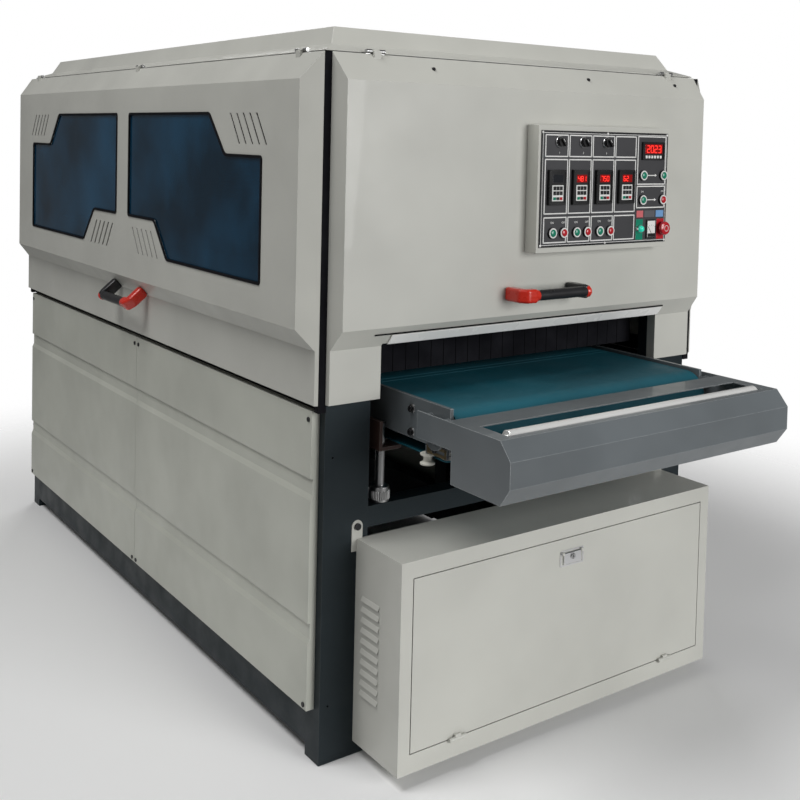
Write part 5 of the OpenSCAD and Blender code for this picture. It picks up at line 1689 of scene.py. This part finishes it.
@dataclass
class Conveyor:
    """Details of the feed conveyor and of its lift."""

    plate_x: float = 516.0
    bolt_y: float = -1400.0
    bolt_zs: Span = (943.0, 1010.0)
    strip_out: float = 8.0
    nut_at: Span = (-1520.0, 920.0)
    seam_ys: Span = (-1180.0, -1150.0)
    seam_w: float = 7.0
    roller_z: float = 961.7
    rollers: tuple[tuple[str, float, float], ...] = (("idler_roller", -1528.0, 535.7),
                                                     ("drive_roller", 1230.0, 553.0))
    infeed_at: Span = (-1786.0, 1017.0)
    column_x: float = 536.0
    column_ys: Span = (-1275.0, 1050.0)
    knurl_z: Span = (723.0, 748.0)
    knurl_r: Span = (31.4, 29.3)
    knurl_points: int = 72
    jack_z: float = 603.0
    jack_fins: int = 20

    def build(self) -> None:
        """Builds the details."""
        self._bolts()
        self._strips()
        self._belt_seam()
        self._rollers()
        self._knurls()
        self._jack()

    def _bolts(self) -> None:
        """Socket-head bolts with washers on both side plates."""
        washer = [(0.0, 0.2), (13.0, 0.2), (13.0, 1.6), (12.2, 2.2), (0.0, 2.2)]
        head = [(0.0, 2.2), (9.3, 2.2), (9.3, 9.0), (8.6, 10.0), (5.0, 10.0), (4.6, 6.5),
                (0.0, 6.5)]
        for finish, name, profile in ((STEEL, "plate_washers", washer),
                                      (BOLT_BLACK, "plate_bolts", head)):
            parts = [Bench.turned("bolt", profile, (side * self.plate_x, self.bolt_y, z),
                                  (side, 0.0, 0.0), 24)
                     for side in (-1, 1) for z in self.bolt_zs]
            Bench.dress(Bench.join(name, parts), finish, "conveyor")

    def _strips(self) -> None:
        """Zinc-plated tension strips with a slot and a lock nut."""
        nut = [(0.0, 0.0), (8.0, 0.0), (8.0, 5.5), (7.2, 6.5), (0.0, 6.5)]
        strips, nuts = [], []
        for side in (-1, 1):
            x = side * (self.plate_x + self.strip_out)
            outline = [(x, -1572, 907), (x, -1483, 907), (x, -1483, 933), (x, -1572, 933)]
            foot = [(x, -1500, 909), (x, -1485, 909), (x, -1485, 931), (x, -1500, 931)]
            strips += [Bench.ring("strip", outline, 8.5, (side * 1.5, 0.0, 0.0), 3.0),
                       Bench.slab("foot", foot, (side * 3.0, 0.0, 0.0))]
            nuts.append(Bench.turned("nut", nut, (x, *self.nut_at), (side, 0.0, 0.0), 6))
        Bench.dress(Bench.soften(Bench.join("tension_strips", strips), 0.5), ZINC_YELLOW,
                    "conveyor")
        Bench.dress(Bench.join("tension_nuts", nuts), BOLT_BLACK, "conveyor")

    def _belt_seam(self) -> None:
        """Splice of the belt: two flat stitched bands across it."""
        bands = [Bench.block("band", (-498, 498), (y, y + self.seam_w), (1035.6, 1036.5), 0.3)
                 for y in self.seam_ys]
        Bench.dress(Bench.join("belt_seam", bands), BELT, "conveyor")

    def _rollers(self) -> None:
        """Belt rollers with recessed ends, and the bright roller on its two pins."""
        for name, y, right in self.rollers:
            profile = [(0.0, -535.7), (18.8, -535.7), (19.8, -534.7), (19.8, -490.0),
                       (58.0, -490.0), (61.0, -500.0), (68.5, -500.0), (70.0, -498.5),
                       (70.0, 498.5), (68.5, 500.0), (61.0, 500.0), (58.0, 490.0), (19.8, 490.0),
                       (19.8, right - 1), (18.8, right), (0.0, right)]
            roller = Bench.turned(name + "_turned", profile, (0.0, y, self.roller_z), ACROSS, 64)
            Bench.dress(roller, STEEL, name, "steel", (name,))
        half = [(19.0, 0.0), (19.0, 498.8), (17.8, 500.0), (7.8, 500.0), (7.8, 540.0), (7.1, 540.7),
                (0.0, 540.7)]
        profile = [(r, -h) for r, h in reversed(half)] + half[1:]
        roller = Bench.turned("infeed_roller_turned", profile, (0.0, *self.infeed_at), ACROSS, 64)
        Bench.dress(roller, BRIGHT_STEEL, "infeed_roller", "steel", ("infeed_roller",))

    def _knurls(self) -> None:
        """Knurled collars round the base nuts of the lift columns."""
        low, high = self.knurl_z
        collars = []
        for side in (-1, 1):
            for y in self.column_ys:
                teeth = []
                for k in range(self.knurl_points):
                    angle, r = 2 * math.pi * k / self.knurl_points, self.knurl_r[k % 2]
                    teeth.append((side * self.column_x + r * math.cos(angle),
                                  y + r * math.sin(angle), low))
                knurl = Bench.slab("knurl", teeth, (0.0, 0.0, high - low))
                collars.append(Bench.soften(knurl, 0.4))
        Bench.dress(Bench.join("lift_nut_knurls", collars), STEEL, "machine")

    def _jack(self) -> None:
        """Painted housing and finned motor of the screw jack."""
        shell = [(0.0, 72.0), (52.0, 72.0), (52.0, 84.0), (50.4, 86.0), (50.4, 222.0),
                 (54.0, 224.0), (54.0, 262.0), (50.0, 270.0), (0.0, 271.0)]
        z = self.jack_z
        centre = (0.0, 0.0, z)
        parts = [Bench.block("case", (-71, 71), (-56, 56), (z - 51, z + 51), 5, 3),
                 Bench.turned("shell", shell, centre, ACROSS)]
        fin = Bench.block("fin", (88, 222), (-1, 1), (z + 49, z + 56), 0.5)
        parts += Bench.spread(fin, centre, self.jack_fins)
        Bench.dress(Bench.join("lift_jack_housing", parts), MOTOR_PAINT, "machine")


@dataclass
class Switchgear:
    """Mounting plate behind the cabinet door, with its devices."""

    back_y: float = -1338.0
    plate_t: float = 3.0
    half: float = 572.0
    plate_z: Span = (100.0, 570.0)
    post_xs: Span = (-542.0, 542.0)
    post_zs: Span = (130.0, 540.0)
    post_end: float = -1308.5
    left: float = -542.0
    drive_count: int = 4
    drive_pitch: float = 171.6
    drive_w: float = 114.4
    drive_d: float = 112.0
    contactor_count: int = 8
    contactor_pitch: float = 60.0
    contactor_d: float = 60.0
    clamp_count: int = 45
    clamp_pitch: float = 15.0
    core_d: float = 100.0
    coil_xs: tuple[float, ...] = (259.0, 363.0, 467.0)
    rib_pitch: float = 12.0

    def build(self) -> None:
        """Builds the plate and every device."""
        plate = Bench.block("mounting_plate", (-self.half, self.half), (self.face, self.back_y),
                            self.plate_z, 0.8)
        Bench.dress(plate, GALVANISED, "machine", "steel", ("switchgear",))
        posts = [Bench.rod("post", 15.0, (x, self.back_y, z), (x, self.post_end, z), 32)
                 for x in self.post_xs for z in self.post_zs]
        Bench.dress(Bench.soften(Bench.join("plate_posts", posts), 1.0), STEEL, "machine")
        self._drives()
        self._contactors()
        self._terminals()
        self._transformer()
        self._ducts()

    @property
    def face(self) -> float:
        """Front plane of the mounting plate."""
        return self.back_y - self.plate_t

    def _drives(self) -> None:
        """Four drives with a screen, keys and vents."""
        bodies, screens, vents = [], [], []
        front = self.back_y - self.drive_d
        for i in range(self.drive_count):
            x = self.left + i * self.drive_pitch
            bodies += [Bench.block("drive", (x, x + self.drive_w), (front, self.face), (390, 540),
                                   5, 3),
                       Bench.block("cover", (x + 8, x + 106), (front - 2.5, front + 1), (398, 466),
                                   1.5)]
            screens.append(Bench.block("screen", (x + 22, x + 92), (front - 1.5, front + 1),
                                       (500, 526), 1))
            key = Bench.rod("key", 4.5, (x + 34, front - 2, 483), (x + 34, front + 1, 483), 20)
            screens += Bench.repeat(key, (15.0, 0.0, 0.0), 4)
            vent = Bench.block("vent", (x + 14, x + 100), (front - 3.2, front - 2.2), (408, 411))
            vents += Bench.repeat(vent, (0.0, 0.0, 9.0), 6)
        Bench.dress(Bench.join("drives", bodies), DEVICE_GREY, "machine")
        Bench.dress(Bench.join("drive_screens", screens), SCREEN_DARK, "machine")
        Bench.dress(Bench.join("drive_vents", vents), BLACK_PLASTIC, "machine")

    def _contactors(self) -> None:
        """Row of contactors with a stepped front and a lever."""
        bodies, levers = [], []
        front = self.back_y - self.contactor_d
        for i in range(self.contactor_count):
            x = self.left + i * self.contactor_pitch
            bodies += [Bench.block("base", (x, x + 45), (front + 18, self.face), (220, 280), 2),
                       Bench.block("front", (x, x + 45), (front, front + 20), (234, 266), 3)]
            levers.append(Bench.block("lever", (x + 15, x + 30), (front - 2.5, front + 1),
                                      (244, 256), 1))
        Bench.dress(Bench.join("contactors", bodies), BLACK_PLASTIC, "machine")
        Bench.dress(Bench.join("contactor_levers", levers), DEVICE_GREY, "machine")

    def _terminals(self) -> None:
        """Row of terminal clamps, and the screws of the contactors and clamps."""
        front = self.back_y - self.contactor_d
        screws = []
        for z in (227, 273):
            for k in range(3):
                x = self.left + 9 + k * 13.5
                screw = Bench.rod("screw", 3.4, (x, front + 16.5, z), (x, front + 19, z), 16)
                screws += Bench.repeat(screw, (self.contactor_pitch, 0.0, 0.0),
                                       self.contactor_count)
        step = (self.clamp_pitch, 0.0, 0.0)
        clamp = Bench.block("clamp", (-538, -524.6), (self.back_y - 30, self.face), (116, 160))
        clamps = Bench.join("terminal_row", Bench.repeat(clamp, step, self.clamp_count))
        Bench.dress(Bench.soften(clamps, 0.8), DEVICE_GREY, "machine")
        for z in (124, 152):
            screw = Bench.rod("screw", 3.0, (-531.3, self.back_y - 31, z),
                              (-531.3, self.back_y - 29, z), 12)
            screws += Bench.repeat(screw, step, self.clamp_count)
        Bench.dress(Bench.join("device_screws", screws), STEEL, "machine")

    def _transformer(self) -> None:
        """Transformer: laminated core with three coils."""
        depth = (self.back_y - self.core_d, self.face)
        core = [Bench.block("yoke", (191, 541), depth, (z, z + 28)) for z in (131, 252)]
        core += [Bench.block("limb", (x, x + 30), depth, (158, 253))
                 for x in (191, 297.5, 404.5, 511)]
        Bench.dress(Bench.soften(Bench.join("transformer_core", core), 1.5), HEAD_PAINT, "machine")
        coil = [(20.0, 0.0), (46.0, 0.0), (47.5, 3.0), (47.5, 83.0), (46.0, 86.0), (20.0, 86.0),
                (20.0, 0.0)]
        coils = [Bench.turned("coil", coil, (x, self.back_y - 54, 162.0), UP) for x in self.coil_xs]
        Bench.dress(Bench.join("transformer_coils", coils), YOKE_PAINT, "machine")

    def _ducts(self) -> None:
        """Slotted wiring ducts between the rows of devices."""
        parts = []
        for z, last in ((180, 160), (330, 540)):
            parts.append(Bench.block("lid", (self.left, last), (self.back_y - 42, self.back_y - 40),
                                     (z - 1, z + 27)))
            first = self.left + 1
            for edge in (z, z + 24):
                rib = Bench.block("rib", (first, first + 8), (self.back_y - 41, self.face),
                                  (edge, edge + 2))
                parts += Bench.repeat(rib, (self.rib_pitch, 0.0, 0.0),
                                      int((last - self.left) / self.rib_pitch))
        Bench.dress(Bench.join("wiring_ducts", parts), DEVICE_GREY, "machine")


@dataclass
class Studio:
    """Floor, soft lamps and the camera at the photograph's place, all in metres."""

    eye: Point = (-2.3214, -3.5994, 1.775)
    yaw: float = 35.4665
    pitch: float = 2.4396
    roll: float = 1.3254
    lens: float = 48.933
    sensor: float = 36.0
    shift_y: float = -0.2709
    floor_half: float = 12.0
    floor_z: float = -0.001
    floor_colour: Colour = (0.88, 0.88, 0.88)
    floor_roughness: float = 0.9
    fade: Span = (1.7, 3.6)
    world_light: float = 0.14
    lamps: tuple[tuple[str, Point, Point, float, float], ...] = (
        ("key", (1.6, -7.5, 2.4), (0.0, -1.0, 1.0), 3.5, 320.0),
        ("overhead", (-3.6, -0.6, 6.4), (0.0, 0.0, 1.0), 3.0, 230.0),
        ("left_fill", (-6.5, -1.5, 3.0), (0.0, 0.3, 1.4), 3.5, 12.0),
        ("back_fill", (3.5, 6.0, 4.0), (0.0, 1.0, 1.0), 3.5, 150.0))

    def build(self) -> None:
        """Builds everything that isn't part of the machine."""
        self._floor()
        for name, place, aim, size, power in self.lamps:
            self._lamp(name, place, aim, size, power)
        self._world()
        self._camera()
        bpy.context.scene.view_settings.view_transform = "Standard"

    def _camera(self) -> None:
        """Camera as solved from the photograph."""
        yaw, pitch, roll = (math.radians(v) for v in (self.yaw, self.pitch, self.roll))
        ahead = Vector((math.sin(yaw), math.cos(yaw), 0.0))
        side = Vector((math.cos(yaw), -math.sin(yaw), 0.0))
        look = ahead * math.cos(pitch) - Vector(UP) * math.sin(pitch)
        rise = ahead * math.sin(pitch) + Vector(UP) * math.cos(pitch)
        right = side * math.cos(roll) + rise * math.sin(roll)
        top = rise * math.cos(roll) - side * math.sin(roll)
        data = bpy.data.cameras.new("photo_camera")
        data.lens = self.lens
        data.sensor_width = self.sensor
        data.shift_y = self.shift_y
        camera = bpy.data.objects.new("photo_camera", data)
        bpy.context.collection.objects.link(camera)
        turn = Matrix((right, top, -look)).transposed().to_4x4()
        camera.matrix_world = Matrix.Translation(self.eye) @ turn
        bpy.context.scene.camera = camera

    def _floor(self) -> None:
        """Plain pale floor that fades out round the machine."""
        Bench.clear()
        bpy.ops.mesh.primitive_plane_add(size=2 * self.floor_half, location=(0, 0, self.floor_z))
        floor = bpy.context.object
        floor.name = "floor"
        material = bpy.data.materials.new("floor")
        material.use_nodes = True
        tree = material.node_tree
        shader = tree.nodes["Principled BSDF"]
        shader.inputs["Base Color"].default_value = (*self.floor_colour, 1.0)
        shader.inputs["Roughness"].default_value = self.floor_roughness
        coords = tree.nodes.new("ShaderNodeTexCoord").outputs["Object"]
        reach = add_node(tree, "VectorMath", {}, {0: coords})
        reach.operation = "LENGTH"
        fade = add_node(tree, "MapRange", {"From Min": self.fade[0], "From Max": self.fade[1],
                                           "To Min": 1.0, "To Max": 0.0},
                        {"Value": reach.outputs["Value"]})
        fade.interpolation_type = "SMOOTHSTEP"
        tree.links.new(fade.outputs["Result"], shader.inputs["Alpha"])
        floor.data.materials.append(material)

    def _lamp(self, name: str, place: Point, aim: Point, size: float, power: float) -> None:
        """Square soft lamp.

        Args:
            name: Name of the lamp.
            place: Its place.
            aim: Point that it looks at.
            size: Length of its sides.
            power: Its power in watts.
        """
        data = bpy.data.lights.new(name, "AREA")
        data.size = size
        data.energy = power
        lamp = bpy.data.objects.new(name, data)
        bpy.context.collection.objects.link(lamp)
        lamp.location = place
        lamp.rotation_mode = "QUATERNION"
        lamp.rotation_quaternion = (Vector(aim) - Vector(place)).to_track_quat("-Z", "Y")

    def _world(self) -> None:
        """Pale surroundings: full white to the camera, a weak plain light to all else."""
        world = bpy.data.worlds.new("studio")
        bpy.context.scene.world = world
        world.use_nodes = True
        tree = world.node_tree
        background = tree.nodes["Background"]
        background.inputs["Color"].default_value = (1.0, 1.0, 1.0, 1.0)
        path = tree.nodes.new("ShaderNodeLightPath")
        strength = add_node(tree, "MapRange", {"To Min": self.world_light, "To Max": 1.0},
                            {"Value": path.outputs["Is Camera Ray"]})
        tree.links.new(strength.outputs["Result"], background.inputs["Strength"])


def main() -> None:
    """Builds the studio and the machine."""
    logging.basicConfig(level=logging.INFO, format="%(name)s: %(message)s")
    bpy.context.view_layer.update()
    Studio().build()
    for assembly in (SoftenedNodes(), PlainNodes(), PanelFace(), Keypads(), PanelGauges(),
                     PanelControls(), DoorTrim(), CabinetTrim(), Handles(), Roof(), SandingHead(),
                     Conveyor(), Switchgear()):
        log.info("building %s", type(assembly).__name__)
        assembly.build()


if __name__ == "__main__":
    main()
